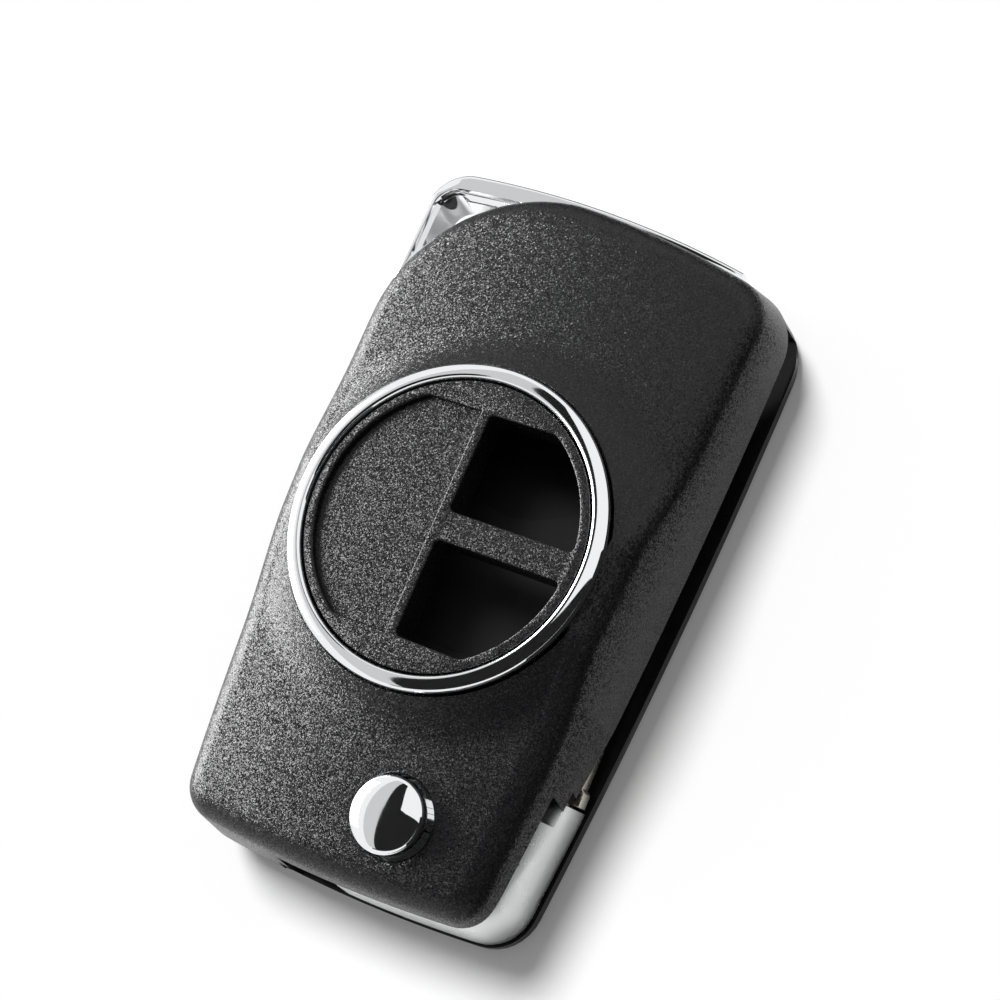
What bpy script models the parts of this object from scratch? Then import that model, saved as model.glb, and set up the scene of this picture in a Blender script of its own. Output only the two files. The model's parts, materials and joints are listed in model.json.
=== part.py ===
"""Flip key remote shell: a moulded two-shell fob with a folding blade on its long side.

The shell lies on its back, face up. Sizes are in metres. The model is drawn in the
fob's own design frame, whose X and Y are zero at the centre of the bezel ring and
whose Z is zero at the back face. The empty "fob_frame" then moves the whole fob so
that the middle of its plan outline stands over the world origin.
"""

import math

import bmesh
import bpy
import numpy as np

MM = 0.001

# Driving dimensions of the plan outline, measured from the ring's centre.
# A corner is the place where two sides would meet if it were sharp.
CORNER_LOW_LEFT = (-16.7 * MM, -32.6 * MM)
CORNER_LOW_RIGHT = (16.4 * MM, -31.6 * MM)
CORNER_TOP_RIGHT = (20.0 * MM, 30.6 * MM)
CORNER_TOP_LEFT = (-20.0 * MM, 35.2 * MM)
BOW_BOTTOM = 1.0 * MM
BOW_RIGHT = 0.75 * MM
BOW_TOP = 2.0 * MM
BOW_LEFT = 1.1 * MM
RADIUS_LOW_LEFT = 4.6 * MM
RADIUS_LOW_RIGHT = 4.6 * MM
RADIUS_TOP_RIGHT = 6.2 * MM
RADIUS_TOP_LEFT = 4.4 * MM
FRONT_RADIUS_TOP_LEFT = 17.0 * MM

# Heights through the thickness.
BODY_THICKNESS = 16.4 * MM
SLOT_FLOOR_Z = 2.2 * MM
FRONT_RIM_Z = 5.6 * MM
PARTING_GAP = 0.3 * MM
FACE_MIDDLE_Z = 14.7 * MM
CROWN_DROP_SIDES = 0.9 * MM
CROWN_REACH_SIDES = 16.0 * MM
CROWN_DROP_ENDS = 1.6 * MM
CROWN_REACH_ENDS = 33.0 * MM

# Front moulding.
FRONT_INSET = 0.25 * MM
WALL_DRAFT = math.radians(12.5)
EDGE_FILLET = 3.0 * MM
FILLET_END_ANGLE = math.radians(80)
FRONT_WALL = 1.6 * MM
DISC_THICKNESS = 3.3 * MM
BOSS_WIDTH = 4.6 * MM
SEAT_LIP_DROP = 0.7 * MM
RIM_RELIEF_RISE = 0.9 * MM
RIM_RELIEF_END_Y = -9.0 * MM

# Bezel ring and what it frames.
RING_OUTER_R = 15.0 * MM
RING_WIDTH = 1.55 * MM
RING_CROWN = 0.35 * MM
RING_HEIGHT = 2.0 * MM
RING_GAP = 0.2 * MM
EMBLEM_EDGE_X = -0.9 * MM
EMBLEM_RIM = 0.85 * MM
EMBLEM_SHOULDER = 1.8 * MM
EMBLEM_DEPTH = 0.6 * MM
WINDOW_LEFT_X = 0.25 * MM
WINDOW_INNER_Y = 1.46 * MM
WINDOW_RIM = 1.05 * MM
WINDOW_SHOULDER = 1.7 * MM
WINDOW_CORNER_R = 0.9 * MM

# Flip axis, hub and release button.
PIVOT_X = 5.5 * MM
PIVOT_Y = -24.6 * MM
HUB_BOTTOM_Z = 2.5 * MM
HUB_TOP_Z = 9.4 * MM
HUB_STEP_Z = 7.0 * MM
HUB_INSET = 0.3 * MM
HUB_DISC_R = 9.2 * MM
HUB_REACH_Y = 6.6 * MM
HUB_UPPER_REACH_Y = 4.5 * MM
HUB_STEP_X = 4.0 * MM
RUNNING_GAP = 0.3 * MM
SWEEP_GAP = 0.45 * MM
BUTTON_HOLE_R = 3.6 * MM
BUTTON_R = 3.35 * MM
BUTTON_PROUD = 1.3 * MM
BUTTON_DOME_RISE = 0.95 * MM
BUTTON_TRAVEL = 1.4 * MM
BUTTON_HOLLOW_RISE = 1.2 * MM
FLANGE_R = 4.9 * MM
FLANGE_THICKNESS = 0.7 * MM
STEM_OUTER_R = 3.6 * MM
STEM_INNER_R = 3.05 * MM
STEM_LENGTH = 2.5 * MM
LUG_REACH = 5.3 * MM
LUG_WIDTH = 2.2 * MM
LUG_LENGTH = 3.2 * MM
SPRING_MEAN_R = 2.4 * MM
SPRING_WIRE_R = 0.3 * MM
SPRING_TURNS = 6
SPRING_END_TURNS = 0.8
SPRING_END_PITCH = 0.9 * MM
SPRING_STEPS_PER_TURN = 12
HUB_BORE_R = 3.2 * MM
BEARING_OUTER_R = 4.4 * MM
BEARING_INNER_R = 3.4 * MM
BEARING_HEIGHT = 1.2 * MM
POST_R = 1.5 * MM
POST_HEIGHT = 4.0 * MM
WASHER_THICKNESS = 0.5 * MM

# Key blade, folded into the slot on the right.
BLADE_THICKNESS = 2.0 * MM
BLADE_BOTTOM_Z = 3.3 * MM
BLADE_OUTER_X = 17.1 * MM
BLADE_WIDTH = 8.2 * MM
BLADE_TIP_Y = 27.3 * MM
BLADE_TIP_CHAMFER = 2.4 * MM
SHOULDER_LENGTH = 1.3 * MM
SHOULDER_STEP = 0.35 * MM
TANG_WIDTH = 6.6 * MM
TANG_LENGTH = 4.4 * MM
GROOVE_WIDTH = 2.4 * MM
GROOVE_DEPTH = 0.5 * MM
PIN_R = 0.8 * MM
PIN_CLEARANCE = 0.3 * MM

# Keyring corner.
FRAME_BOTTOM_Z = 2.5 * MM
FRAME_TOP_Z = 8.9 * MM
FRAME_FLOOR_Z = 6.9 * MM
FRAME_INSET = 0.15 * MM
FRAME_BAND = 1.8 * MM
FRAME_LEFT_END_Y = 19.5 * MM
FRAME_TOP_END_X = 14.0 * MM
FRAME_DIAGONAL_Y = 22.0 * MM
FRAME_DIAGONAL_X = -6.0 * MM
FRAME_POCKET_STEP = 0.1 * MM
LOOP_BOTTOM_Z = 4.2 * MM
LOOP_DIAGONAL_Y = 24.6 * MM
LOOP_DIAGONAL_X = -8.6 * MM
LOOP_LEFT_SHIFT = 0.85 * MM
LEDGE_WIDTH = 0.35 * MM
LEDGE_DROP = 0.8 * MM

# Back moulding.
BACK_FILLET = 1.2 * MM
BACK_FLOOR = 1.6 * MM
BACK_WALL = 1.6 * MM
BACK_WALL_LEAN = 0.25 * MM
SLOT_END_Y = 29.4 * MM
RIB_WIDTH = 1.2 * MM
BLADE_SIDE_GAP = 0.4 * MM
POCKET_LOW_Y = -8.6 * MM

# Board tray under the button windows.
TRAY_BOTTOM_Z = 6.2 * MM
TRAY_FLOOR = 1.0 * MM
TRAY_WALL = 1.0 * MM
TRAY_TOP_Z = 10.2 * MM
TRAY_LEFT_X = -12.0 * MM
TRAY_RIGHT_X = 14.6 * MM
TRAY_LOW_Y = -10.2 * MM
TRAY_HIGH_Y = 26.0 * MM
TRAY_CORNER_R = 2.0 * MM
BATTERY_R = 10.2 * MM
BATTERY_Y = 14.5 * MM
BATTERY_DEPTH = 0.5 * MM
TRAY_POST_R = 1.5 * MM
TRAY_POSTS = ((-9.0 * MM, -5.0 * MM), (4.5 * MM, -5.0 * MM),
              (-9.0 * MM, 22.0 * MM), (4.5 * MM, 22.0 * MM))

# Housing screws, driven from the back.
SCREW_PLACES = ((-13.2 * MM, -24.6 * MM), (-14.9 * MM, 11.0 * MM), (2.0 * MM, 29.0 * MM))
SCREW_R = 0.9 * MM
SCREW_HEAD_R = 1.7 * MM
SCREW_HEAD_HEIGHT = 1.1 * MM
SCREW_HEAD_RECESS = 0.4 * MM
SCREW_LENGTH = 7.0 * MM
SCREW_GAP = 0.3 * MM
SCREW_BOSS_R = 2.1 * MM
SCREW_BOSS_LOW_Z = 2.8 * MM
SCREW_SOCKET_WALL = 0.7 * MM
SCREW_SOCKET_DEPTH = 0.7 * MM

# Mesh fineness.
CIRCLE_STEP = math.radians(5)
CORNER_STEPS = 8
SIDE_STEPS = 14
EDGE_STEPS = (12, 24)
TURN_STEPS = 40
RING_STEPS = 72
MERGE = 0.00001
FLAT_ANGLE = math.radians(0.03)
PAST = 1.0 * MM
FRAME_MARK_SIZE = 5.0 * MM


class Outline:
    """A plan outline of four bowed sides and four rounded corners, anticlockwise."""

    def __init__(self, corners, bows, radii):
        self.radii = radii
        self.sides = [
            self.side_circle(corners[i], corners[(i + 1) % 4], bows[i]) for i in range(4)
        ]
        self.corners = corners

    @staticmethod
    def side_circle(start, end, bow):
        start = np.array(start)
        end = np.array(end)
        along = end - start
        chord = np.linalg.norm(along)
        along = along / chord
        outward = np.array((along[1], -along[0]))
        radius = (chord * chord / 4 + bow * bow) / (2 * bow)
        centre = (start + end) / 2 - outward * (radius - bow)
        return centre, radius

    def corner_circle(self, index, inset):
        """The rounding between side index - 1 and side index, moved inwards by inset."""
        centre_a, radius_a = self.sides[index - 1]
        centre_b, radius_b = self.sides[index]
        radius = max(self.radii[index] - inset, 0.3 * MM)
        reach_a = radius_a - inset - radius
        reach_b = radius_b - inset - radius
        between = centre_b - centre_a
        distance = np.linalg.norm(between)
        between = between / distance
        along = (distance * distance + reach_a * reach_a - reach_b * reach_b) / (2 * distance)
        across = math.sqrt(max(reach_a * reach_a - along * along, 0.0))
        foot = centre_a + between * along
        normal = np.array((-between[1], between[0]))
        options = (foot + normal * across, foot - normal * across)
        target = np.array(self.corners[index])
        return min(options, key=lambda p: np.linalg.norm(p - target)), radius

    def points(self, inset=0.0, corner_steps=CORNER_STEPS, side_steps=SIDE_STEPS):
        loop = []
        for index in range(4):
            here, radius = self.corner_circle(index, inset)
            after, _ = self.corner_circle((index + 1) % 4, inset)
            before_side = self.sides[index - 1][0]
            side, side_radius = self.sides[index]
            start = math.atan2(*(here - before_side)[::-1])
            end = math.atan2(*(here - side)[::-1])
            loop += arc(here, radius, start, end, corner_steps)
            start = math.atan2(*(here - side)[::-1])
            end = math.atan2(*(after - side)[::-1])
            loop += arc(side, side_radius - inset, start, end, side_steps)[1:-1]
        return loop

    def reach(self, inset, angles):
        """Distance from the ring's centre to the outline in each direction."""
        loop = np.array(self.points(inset, 24, 60))
        direction = np.unwrap(np.arctan2(loop[:, 1], loop[:, 0]))
        distance = np.hypot(loop[:, 0], loop[:, 1])
        order = np.argsort(direction)
        return np.interp(angles, direction[order], distance[order], period=2 * math.pi)


def arc(centre, radius, start, end, steps):
    """Points anticlockwise from start to end, both ends included."""
    while end < start:
        end += 2 * math.pi
    return [
        (centre[0] + radius * math.cos(start + (end - start) * i / steps),
         centre[1] + radius * math.sin(start + (end - start) * i / steps))
        for i in range(steps + 1)
    ]


def circle(centre, radius, steps=TURN_STEPS):
    return arc(centre, radius, 0.0, 2 * math.pi, steps)[:-1]


def clip(loop, point, normal):
    """The part of a loop on the side of a line that its normal points to."""
    kept = []
    for i, here in enumerate(loop):
        after = loop[(i + 1) % len(loop)]
        side_here = (here[0] - point[0]) * normal[0] + (here[1] - point[1]) * normal[1]
        side_after = (after[0] - point[0]) * normal[0] + (after[1] - point[1]) * normal[1]
        if side_here >= 0:
            kept.append(here)
        if (side_here >= 0) != (side_after >= 0):
            share = side_here / (side_here - side_after)
            kept.append((here[0] + (after[0] - here[0]) * share,
                         here[1] + (after[1] - here[1]) * share))
    return kept


def rectangle(low_x, low_y, high_x, high_y):
    return [(low_x, low_y), (high_x, low_y), (high_x, high_y), (low_x, high_y)]


def rounded(loop, radius, steps=4):
    """A convex anticlockwise loop with each corner rounded to a radius."""
    result = []
    for i, corner in enumerate(loop):
        corner = np.array(corner)
        to_before = np.array(loop[i - 1]) - corner
        to_after = np.array(loop[(i + 1) % len(loop)]) - corner
        room = min(np.linalg.norm(to_before), np.linalg.norm(to_after)) / 2
        to_before = to_before / np.linalg.norm(to_before)
        to_after = to_after / np.linalg.norm(to_after)
        half = math.acos(np.clip(to_before @ to_after, -1, 1)) / 2
        cut = min(radius / math.tan(half), room * 0.98)
        size = cut * math.tan(half)
        middle = to_before + to_after
        middle = middle / np.linalg.norm(middle)
        centre = corner + middle * (size / math.sin(half))
        first = corner + to_before * cut - centre
        last = corner + to_after * cut - centre
        start = math.atan2(first[1], first[0])
        end = math.atan2(last[1], last[0])
        result += arc(centre, size, start, end, steps)
    return result


FRONT_OUTLINE_RADII = (
    RADIUS_LOW_LEFT, RADIUS_LOW_RIGHT, RADIUS_TOP_RIGHT, FRONT_RADIUS_TOP_LEFT)
OUTLINE_CORNERS = (CORNER_LOW_LEFT, CORNER_LOW_RIGHT, CORNER_TOP_RIGHT, CORNER_TOP_LEFT)
OUTLINE_BOWS = (BOW_BOTTOM, BOW_RIGHT, BOW_TOP, BOW_LEFT)
BODY = Outline(OUTLINE_CORNERS, OUTLINE_BOWS,
               (RADIUS_LOW_LEFT, RADIUS_LOW_RIGHT, RADIUS_TOP_RIGHT, RADIUS_TOP_LEFT))
FRONT = Outline(OUTLINE_CORNERS, OUTLINE_BOWS, FRONT_OUTLINE_RADII)
PIVOT = (PIVOT_X, PIVOT_Y)
RING_INNER_R = RING_OUTER_R - RING_WIDTH
SEAT_R = RING_OUTER_R + RING_GAP
DISC_R = RING_INNER_R - RING_GAP
EMBLEM_ARC_R = DISC_R - EMBLEM_RIM
EMBLEM_HALF_HEIGHT = EMBLEM_ARC_R - EMBLEM_SHOULDER
WINDOW_ARC_R = DISC_R - WINDOW_RIM
WINDOW_OUTER_Y = WINDOW_ARC_R - WINDOW_SHOULDER
SEAT_FLOOR_Z = BODY_THICKNESS - RING_HEIGHT
CEILING_Z = BODY_THICKNESS - DISC_THICKNESS
BLADE_INNER_X = BLADE_OUTER_X - BLADE_WIDTH
BLADE_MIDDLE_X = BLADE_OUTER_X - BLADE_WIDTH / 2
BLADE_TOP_Z = BLADE_BOTTOM_Z + BLADE_THICKNESS
HUB_END_Y = PIVOT_Y + HUB_REACH_Y
HUB_UPPER_END_Y = PIVOT_Y + HUB_UPPER_REACH_Y
BLADE_START_Y = HUB_END_Y + RUNNING_GAP
TANG_END_Y = HUB_END_Y - TANG_LENGTH
PIN_PLACE = (BLADE_MIDDLE_X, HUB_END_Y - TANG_LENGTH / 2)
FLANGE_LOW_Z = HUB_TOP_Z + RUNNING_GAP + BUTTON_TRAVEL
FLANGE_TOP_Z = FLANGE_LOW_Z + FLANGE_THICKNESS
STEM_LOW_Z = FLANGE_LOW_Z - STEM_LENGTH
LUG_LOW_Z = FLANGE_LOW_Z - LUG_LENGTH
SPRING_SEAT_Z = FLANGE_TOP_Z + BUTTON_HOLLOW_RISE
HUB_CORNER = clip(clip(FRONT.points(HUB_INSET), PIVOT, (1.0, 0.0)), (0.0, HUB_END_Y), (0.0, -1.0))
SWEEP_R = SWEEP_GAP + max(math.hypot(x - PIVOT_X, y - PIVOT_Y) for x, y in HUB_CORNER)
SWEEP_UPPER_R = SWEEP_GAP + max(math.hypot(x - PIVOT_X, y - PIVOT_Y)
                                for x, y in clip(HUB_CORNER, (0.0, HUB_UPPER_END_Y), (0.0, -1.0)))


def face_height(x, y):
    """Outer face of the front moulding: a soft crown that swells up to the ring's seat."""
    crown = FACE_MIDDLE_Z
    crown -= CROWN_DROP_SIDES * (x / CROWN_REACH_SIDES) ** 2
    crown -= CROWN_DROP_ENDS * (y / CROWN_REACH_ENDS) ** 2
    share = min(max((math.hypot(x, y) - SEAT_R) / BOSS_WIDTH, 0.0), 1.0)
    lip = BODY_THICKNESS - SEAT_LIP_DROP
    return crown + (lip - crown) * (1 - share) ** 2


def front_angles():
    """Directions of the moulding's mesh columns: even, and finer round the corners."""
    even = np.arange(0, 2 * math.pi, CIRCLE_STEP)
    fine = []
    for index in range(4):
        centre, radius = FRONT.corner_circle(index, 0.0)
        start = math.atan2(*(centre - FRONT.sides[index - 1][0])[::-1])
        end = math.atan2(*(centre - FRONT.sides[index][0])[::-1])
        for x, y in arc(centre, radius, start, end, CORNER_STEPS):
            fine.append(math.atan2(y, x) % (2 * math.pi))
    spaced = [a for a in even
              if min(abs((a - f + math.pi) % (2 * math.pi) - math.pi) for f in fine)
              > CIRCLE_STEP / 3]
    return np.array(sorted(spaced + fine))


def polar_row(distances, angles, heights):
    return [(d * math.cos(a), d * math.sin(a), z)
            for d, a, z in zip(distances, angles, heights)]


def edge_row(angles, outline, turn, wall=0.0, drop=0.0):
    """One loop of the edge rounding, where the surface's normal has risen by turn."""
    heights = np.full(len(angles), FACE_MIDDLE_Z)
    for _ in range(4):
        base = heights - drop - EDGE_FILLET * (math.sin(FILLET_END_ANGLE) - math.sin(WALL_DRAFT))
        lean = (base - FRONT_RIM_Z) * math.tan(WALL_DRAFT)
        ends = lean + EDGE_FILLET * (math.cos(WALL_DRAFT) - math.cos(FILLET_END_ANGLE))
        reach = each_reach(outline, FRONT_INSET + wall + ends, angles)
        heights = np.array([face_height(r * math.cos(a), r * math.sin(a))
                            for r, a in zip(reach, angles)])
    inset = lean + EDGE_FILLET * (math.cos(WALL_DRAFT) - math.cos(turn))
    reach = each_reach(outline, FRONT_INSET + wall + inset, angles)
    rise = base + EDGE_FILLET * (math.sin(turn) - math.sin(WALL_DRAFT))
    return reach, rise


def each_reach(outline, insets, angles):
    """Reach of the outline where each direction has its own inset."""
    low, high = float(np.min(insets)), float(np.max(insets))
    near = outline.reach(low, angles)
    if high - low < MERGE:
        return near
    far = outline.reach(high, angles)
    return near + (far - near) * (insets - low) / (high - low)


def scene_setup():
    for obj in list(bpy.data.objects):
        bpy.data.objects.remove(obj, do_unlink=True)
    scene = bpy.context.scene
    parts = bpy.data.collections.new("flip_key_remote_shell")
    cutters = bpy.data.collections.new("cutters")
    scene.collection.children.link(parts)
    scene.collection.children.link(cutters)
    return parts, cutters


PARTS, CUTTERS = scene_setup()


def make_frames():
    """The fob's design frame, and the empty on the flip axis that carries the key."""
    loop = np.array(BODY.points(0.0, 24, 60))
    middle = (loop.min(axis=0) + loop.max(axis=0)) / 2
    frame = bpy.data.objects.new("fob_frame", None)
    frame.location = (-middle[0], -middle[1], 0.0)
    axis = bpy.data.objects.new("flip_axis", None)
    axis.location = (PIVOT_X, PIVOT_Y, 0.0)
    axis.parent = frame
    for empty in (frame, axis):
        empty.empty_display_size = FRAME_MARK_SIZE
        PARTS.objects.link(empty)
    return frame, axis


FOB_FRAME, FLIP_AXIS = make_frames()


def material(name, colour, roughness, metallic):
    made = bpy.data.materials.new(name)
    made.use_nodes = True
    shader = made.node_tree.nodes["Principled BSDF"]
    shader.inputs["Base Color"].default_value = (*colour, 1.0)
    shader.inputs["Roughness"].default_value = roughness
    shader.inputs["Metallic"].default_value = metallic
    return made


BLACK_SPARKLE = material("black_sparkle_plastic", (0.016, 0.016, 0.017), 0.5, 0.0)
BLACK_PLAIN = material("black_plain_plastic", (0.012, 0.012, 0.013), 0.45, 0.0)
CHROME = material("chrome_plating", (0.82, 0.83, 0.85), 0.06, 1.0)
NICKEL_SILVER = material("nickel_silver", (0.66, 0.62, 0.56), 0.28, 1.0)
SPRING_STEEL = material("spring_steel", (0.45, 0.46, 0.48), 0.3, 1.0)
SCREW_STEEL = material("blackened_steel", (0.09, 0.09, 0.10), 0.4, 1.0)


def add_mesh(name, mesh, finish=None, parent=None):
    """Link a mesh drawn in the design frame. Without a finish it is a cutter."""
    obj = bpy.data.objects.new(name, mesh)
    parent = parent or FOB_FRAME
    obj.parent = parent
    if parent is FLIP_AXIS:
        obj.location = (-PIVOT_X, -PIVOT_Y, 0.0)
    if finish is None:
        CUTTERS.objects.link(obj)
        obj.hide_render = True
        obj.display_type = 'WIRE'
    else:
        PARTS.objects.link(obj)
        mesh.materials.clear()
        mesh.materials.append(finish)
    return obj


def smooth(obj, angle=35):
    obj.data.shade_smooth()
    obj.data.set_sharp_from_angle(angle=math.radians(angle))


def loft(name, rows, finish=None, parent=None):
    """A closed solid through loops of equal length, capped at both ends."""
    mesh = bpy.data.meshes.new(name)
    bm = bmesh.new()
    loops = [[bm.verts.new(p) for p in row] for row in rows]
    count = len(rows[0])
    for below, above in zip(loops, loops[1:]):
        for i in range(count):
            j = (i + 1) % count
            bm.faces.new((below[i], below[j], above[j], above[i]))
    bm.faces.new(list(reversed(loops[0])))
    bm.faces.new(loops[-1])
    bmesh.ops.remove_doubles(bm, verts=bm.verts, dist=MERGE)
    bmesh.ops.recalc_face_normals(bm, faces=bm.faces)
    bm.to_mesh(mesh)
    bm.free()
    return add_mesh(name, mesh, finish, parent)


def plate(name, loop, low_z, high_z, finish=None, parent=None):
    """A flat outline made solid between two heights."""
    curve = bpy.data.curves.new(name + "_outline", 'CURVE')
    curve.dimensions = '2D'
    curve.fill_mode = 'BOTH'
    curve.extrude = (high_z - low_z) / 2
    spline = curve.splines.new('POLY')
    spline.points.add(len(loop) - 1)
    for point, place in zip(spline.points, loop):
        point.co = (place[0], place[1], 0.0, 1.0)
    spline.use_cyclic_u = True
    return from_curve(name, curve, finish, parent, (low_z + high_z) / 2)


def from_curve(name, curve, finish, parent, raise_by=0.0):
    """The welded mesh of a curve, with whole flat faces, so that it can be cut or joined."""
    drawn = bpy.data.objects.new(name + "_curve", curve)
    bpy.context.scene.collection.objects.link(drawn)
    graph = bpy.context.evaluated_depsgraph_get()
    mesh = bpy.data.meshes.new_from_object(drawn.evaluated_get(graph))
    bpy.data.objects.remove(drawn, do_unlink=True)
    bm = bmesh.new()
    bm.from_mesh(mesh)
    bmesh.ops.remove_doubles(bm, verts=bm.verts, dist=MERGE)
    bmesh.ops.dissolve_limit(bm, angle_limit=FLAT_ANGLE, verts=bm.verts, edges=bm.edges)
    bmesh.ops.translate(bm, verts=bm.verts, vec=(0.0, 0.0, raise_by))
    bmesh.ops.recalc_face_normals(bm, faces=bm.faces)
    bm.to_mesh(mesh)
    bm.free()
    mesh.name = name
    return add_mesh(name, mesh, finish, parent)


def turned(name, profile, finish=None, parent=None, centre=PIVOT, steps=TURN_STEPS):
    """A turned solid. The profile of (radius, height) runs down its outer side."""
    mesh = bpy.data.meshes.new(name)
    count = len(profile)
    on_axis = profile[0][0] == 0.0 and profile[-1][0] == 0.0
    edges = [(i, i + 1) for i in range(count - 1)]
    if not on_axis:
        edges.append((count - 1, 0))
    mesh.from_pydata([(r, 0.0, z) for r, z in profile], edges, [])
    obj = add_mesh(name, mesh, finish, parent)
    shift = (0.0, 0.0) if parent is FLIP_AXIS else centre
    obj.location = (shift[0], shift[1], 0.0)
    screw = obj.modifiers.new("turn", 'SCREW')
    screw.steps = steps
    screw.render_steps = steps
    screw.use_merge_vertices = True
    screw.merge_threshold = MERGE
    screw.use_smooth_shade = False
    return obj


def combine(target, tool, operation, solver='EXACT'):
    """One Boolean. A piece with two ledges in one plane needs the MANIFOLD solver."""
    boolean = target.modifiers.new(tool.name, 'BOOLEAN')
    boolean.operation = operation
    boolean.solver = solver
    boolean.object = tool


def cut(target, *tools, solver='EXACT'):
    for tool in tools:
        combine(target, tool, 'DIFFERENCE', solver)


def join(target, *tools):
    for tool in tools:
        combine(target, tool, 'UNION')


def front_outer():
    """Outer skin of the front moulding, from its rim over the crown to the ring's seat."""
    angles = front_angles()
    full = np.ones(len(angles))
    reach = FRONT.reach(FRONT_INSET, angles)
    rows = [polar_row(reach, angles, full * FRONT_RIM_Z)]
    for turn in (WALL_DRAFT, math.radians(27), math.radians(42), math.radians(60), FILLET_END_ANGLE):
        reach, heights = edge_row(angles, FRONT, turn)
        rows.append(polar_row(reach, angles, heights))
    for share in (0.82, 0.62, 0.44, 0.29, 0.18, 0.09, 0.0):
        distance = SEAT_R + (reach - SEAT_R) * share
        heights = [face_height(d * math.cos(a), d * math.sin(a))
                   for d, a in zip(distance, angles)]
        rows.append(polar_row(distance, angles, heights))
    for radius, height in ((SEAT_R, SEAT_FLOOR_Z), (DISC_R, SEAT_FLOOR_Z), (DISC_R, BODY_THICKNESS)):
        rows.append(polar_row(full * radius, angles, full * height))
    return rows


def front_cavity():
    """Inside of the front moulding: its wall and ceiling, open at the rim."""
    angles = front_angles()[::2]
    full = np.ones(len(angles))
    reach = FRONT.reach(FRONT_INSET + FRONT_WALL, angles)
    rows = [polar_row(reach, angles, full * (FRONT_RIM_Z - PAST))]
    for turn in (WALL_DRAFT, math.radians(50), FILLET_END_ANGLE):
        reach, heights = edge_row(angles, FRONT, turn, FRONT_WALL, FRONT_WALL)
        rows.append(polar_row(reach, angles, np.minimum(heights, CEILING_Z)))
    for share in (0.55, 0.15):
        distance = SEAT_R + (reach - SEAT_R) * share
        heights = [min(face_height(d * math.cos(a), d * math.sin(a)) - FRONT_WALL, CEILING_Z)
                   for d, a in zip(distance, angles)]
        rows.append(polar_row(distance, angles, heights))
    return rows


def emblem_outline():
    """A flat-sided disc: straight right edge, short level ends, round left side."""
    turn = math.asin(EMBLEM_HALF_HEIGHT / EMBLEM_ARC_R)
    left = arc((0, 0), EMBLEM_ARC_R, math.pi - turn, math.pi + turn, 24)
    return left + [(EMBLEM_EDGE_X, -EMBLEM_HALF_HEIGHT), (EMBLEM_EDGE_X, EMBLEM_HALF_HEIGHT)]


def window_outline(side):
    """A button window: a quarter of a disc with a squared-off end. Side is +1 or -1."""
    radius = WINDOW_CORNER_R
    reach = WINDOW_ARC_R - radius
    left = WINDOW_LEFT_X + radius
    low = WINDOW_INNER_Y + radius
    high = WINDOW_OUTER_Y - radius
    low_turn = math.asin(low / reach)
    high_turn = math.asin(high / reach)
    quarter = math.pi / 2
    loop = arc((left, low), radius, 2 * quarter, 3 * quarter, 4)
    loop += arc((reach * math.cos(low_turn), low), radius, -quarter, low_turn, 4)
    loop += arc((0, 0), WINDOW_ARC_R, low_turn, high_turn, 8)[1:-1]
    loop += arc((reach * math.cos(high_turn), high), radius, high_turn, quarter, 3)
    loop += arc((left, high), radius, quarter, 2 * quarter, 4)
    if side < 0:
        loop = [(x, -y) for x, y in reversed(loop)]
    return loop


def hub_clearance(name, low_z, step_z, high_z):
    """The round space that the hub's far corner sweeps, narrower above the hub's step."""
    return turned(name, [(0.0, high_z), (SWEEP_UPPER_R, high_z), (SWEEP_UPPER_R, step_z),
                         (SWEEP_R, step_z), (SWEEP_R, low_z), (0.0, low_z)],
                  steps=TURN_STEPS * 2)


def rim_relief():
    """A long wedge that lifts the front moulding's rim over the root of the blade."""
    run = (RIM_RELIEF_END_Y - HUB_END_Y) * PAST / RIM_RELIEF_RISE
    wedge = [(HUB_END_Y, FRONT_RIM_Z - PAST), (RIM_RELIEF_END_Y + run, FRONT_RIM_Z - PAST),
             (HUB_END_Y, FRONT_RIM_Z + RIM_RELIEF_RISE)]
    ends = (BLADE_OUTER_X - BLADE_WIDTH / 2, CORNER_TOP_RIGHT[0] + PAST)
    return loft("rim_relief", [[(x, y, z) for y, z in wedge] for x in ends])


def diagonal(line_y, line_x, back=0.0):
    """A line across the keyring corner, moved back from it, and its normal to the corner."""
    normal = np.array((line_y - CORNER_TOP_LEFT[1], line_x - CORNER_TOP_LEFT[0]))
    normal = normal / np.linalg.norm(normal)
    return np.array((CORNER_TOP_LEFT[0], line_y)) - normal * back, normal


def corner_run(inset, low_y, high_x):
    """The body outline from the top side, round the keyring corner, to the left side."""
    loop = clip(BODY.points(inset, *EDGE_STEPS), (0.0, low_y), (0.0, 1.0))
    loop = clip(loop, (high_x, 0.0), (-1.0, 0.0))
    start = max(range(len(loop)), key=lambda i: loop[i][0] * 10 + loop[i][1])
    return (loop[start:] + loop[:start])[:-1]


def frame_band(inset, spread):
    """Plan of the keyring frame's raised band alone, open in the middle of the corner."""
    ends = (FRAME_LEFT_END_Y - spread, FRAME_TOP_END_X + spread)
    inner = corner_run(FRAME_INSET + FRAME_BAND + spread, *ends)
    return corner_run(inset, *ends) + list(reversed(inner))


def frame_footprint(inset, spread):
    """Plan of the keyring frame: a band round the corner, webbed across the diagonal."""
    ends = (FRAME_LEFT_END_Y - spread, FRAME_TOP_END_X + spread)
    inner = corner_run(FRAME_INSET + FRAME_BAND + spread, *ends)
    point, normal = diagonal(FRAME_DIAGONAL_Y, FRAME_DIAGONAL_X, spread)
    return corner_run(inset, *ends) + list(reversed(clip(inner, point, -normal)))


def corner_lens(inset, line_y, line_x, back=0.0):
    """The keyring corner of the body outline, cut off by a diagonal line."""
    return clip(BODY.points(inset, *EDGE_STEPS), *diagonal(line_y, line_x, back))


def screw_seat(place):
    """Height of the front moulding's ceiling over a screw boss."""
    return face_height(*place) - FRONT_WALL / 2


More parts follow.
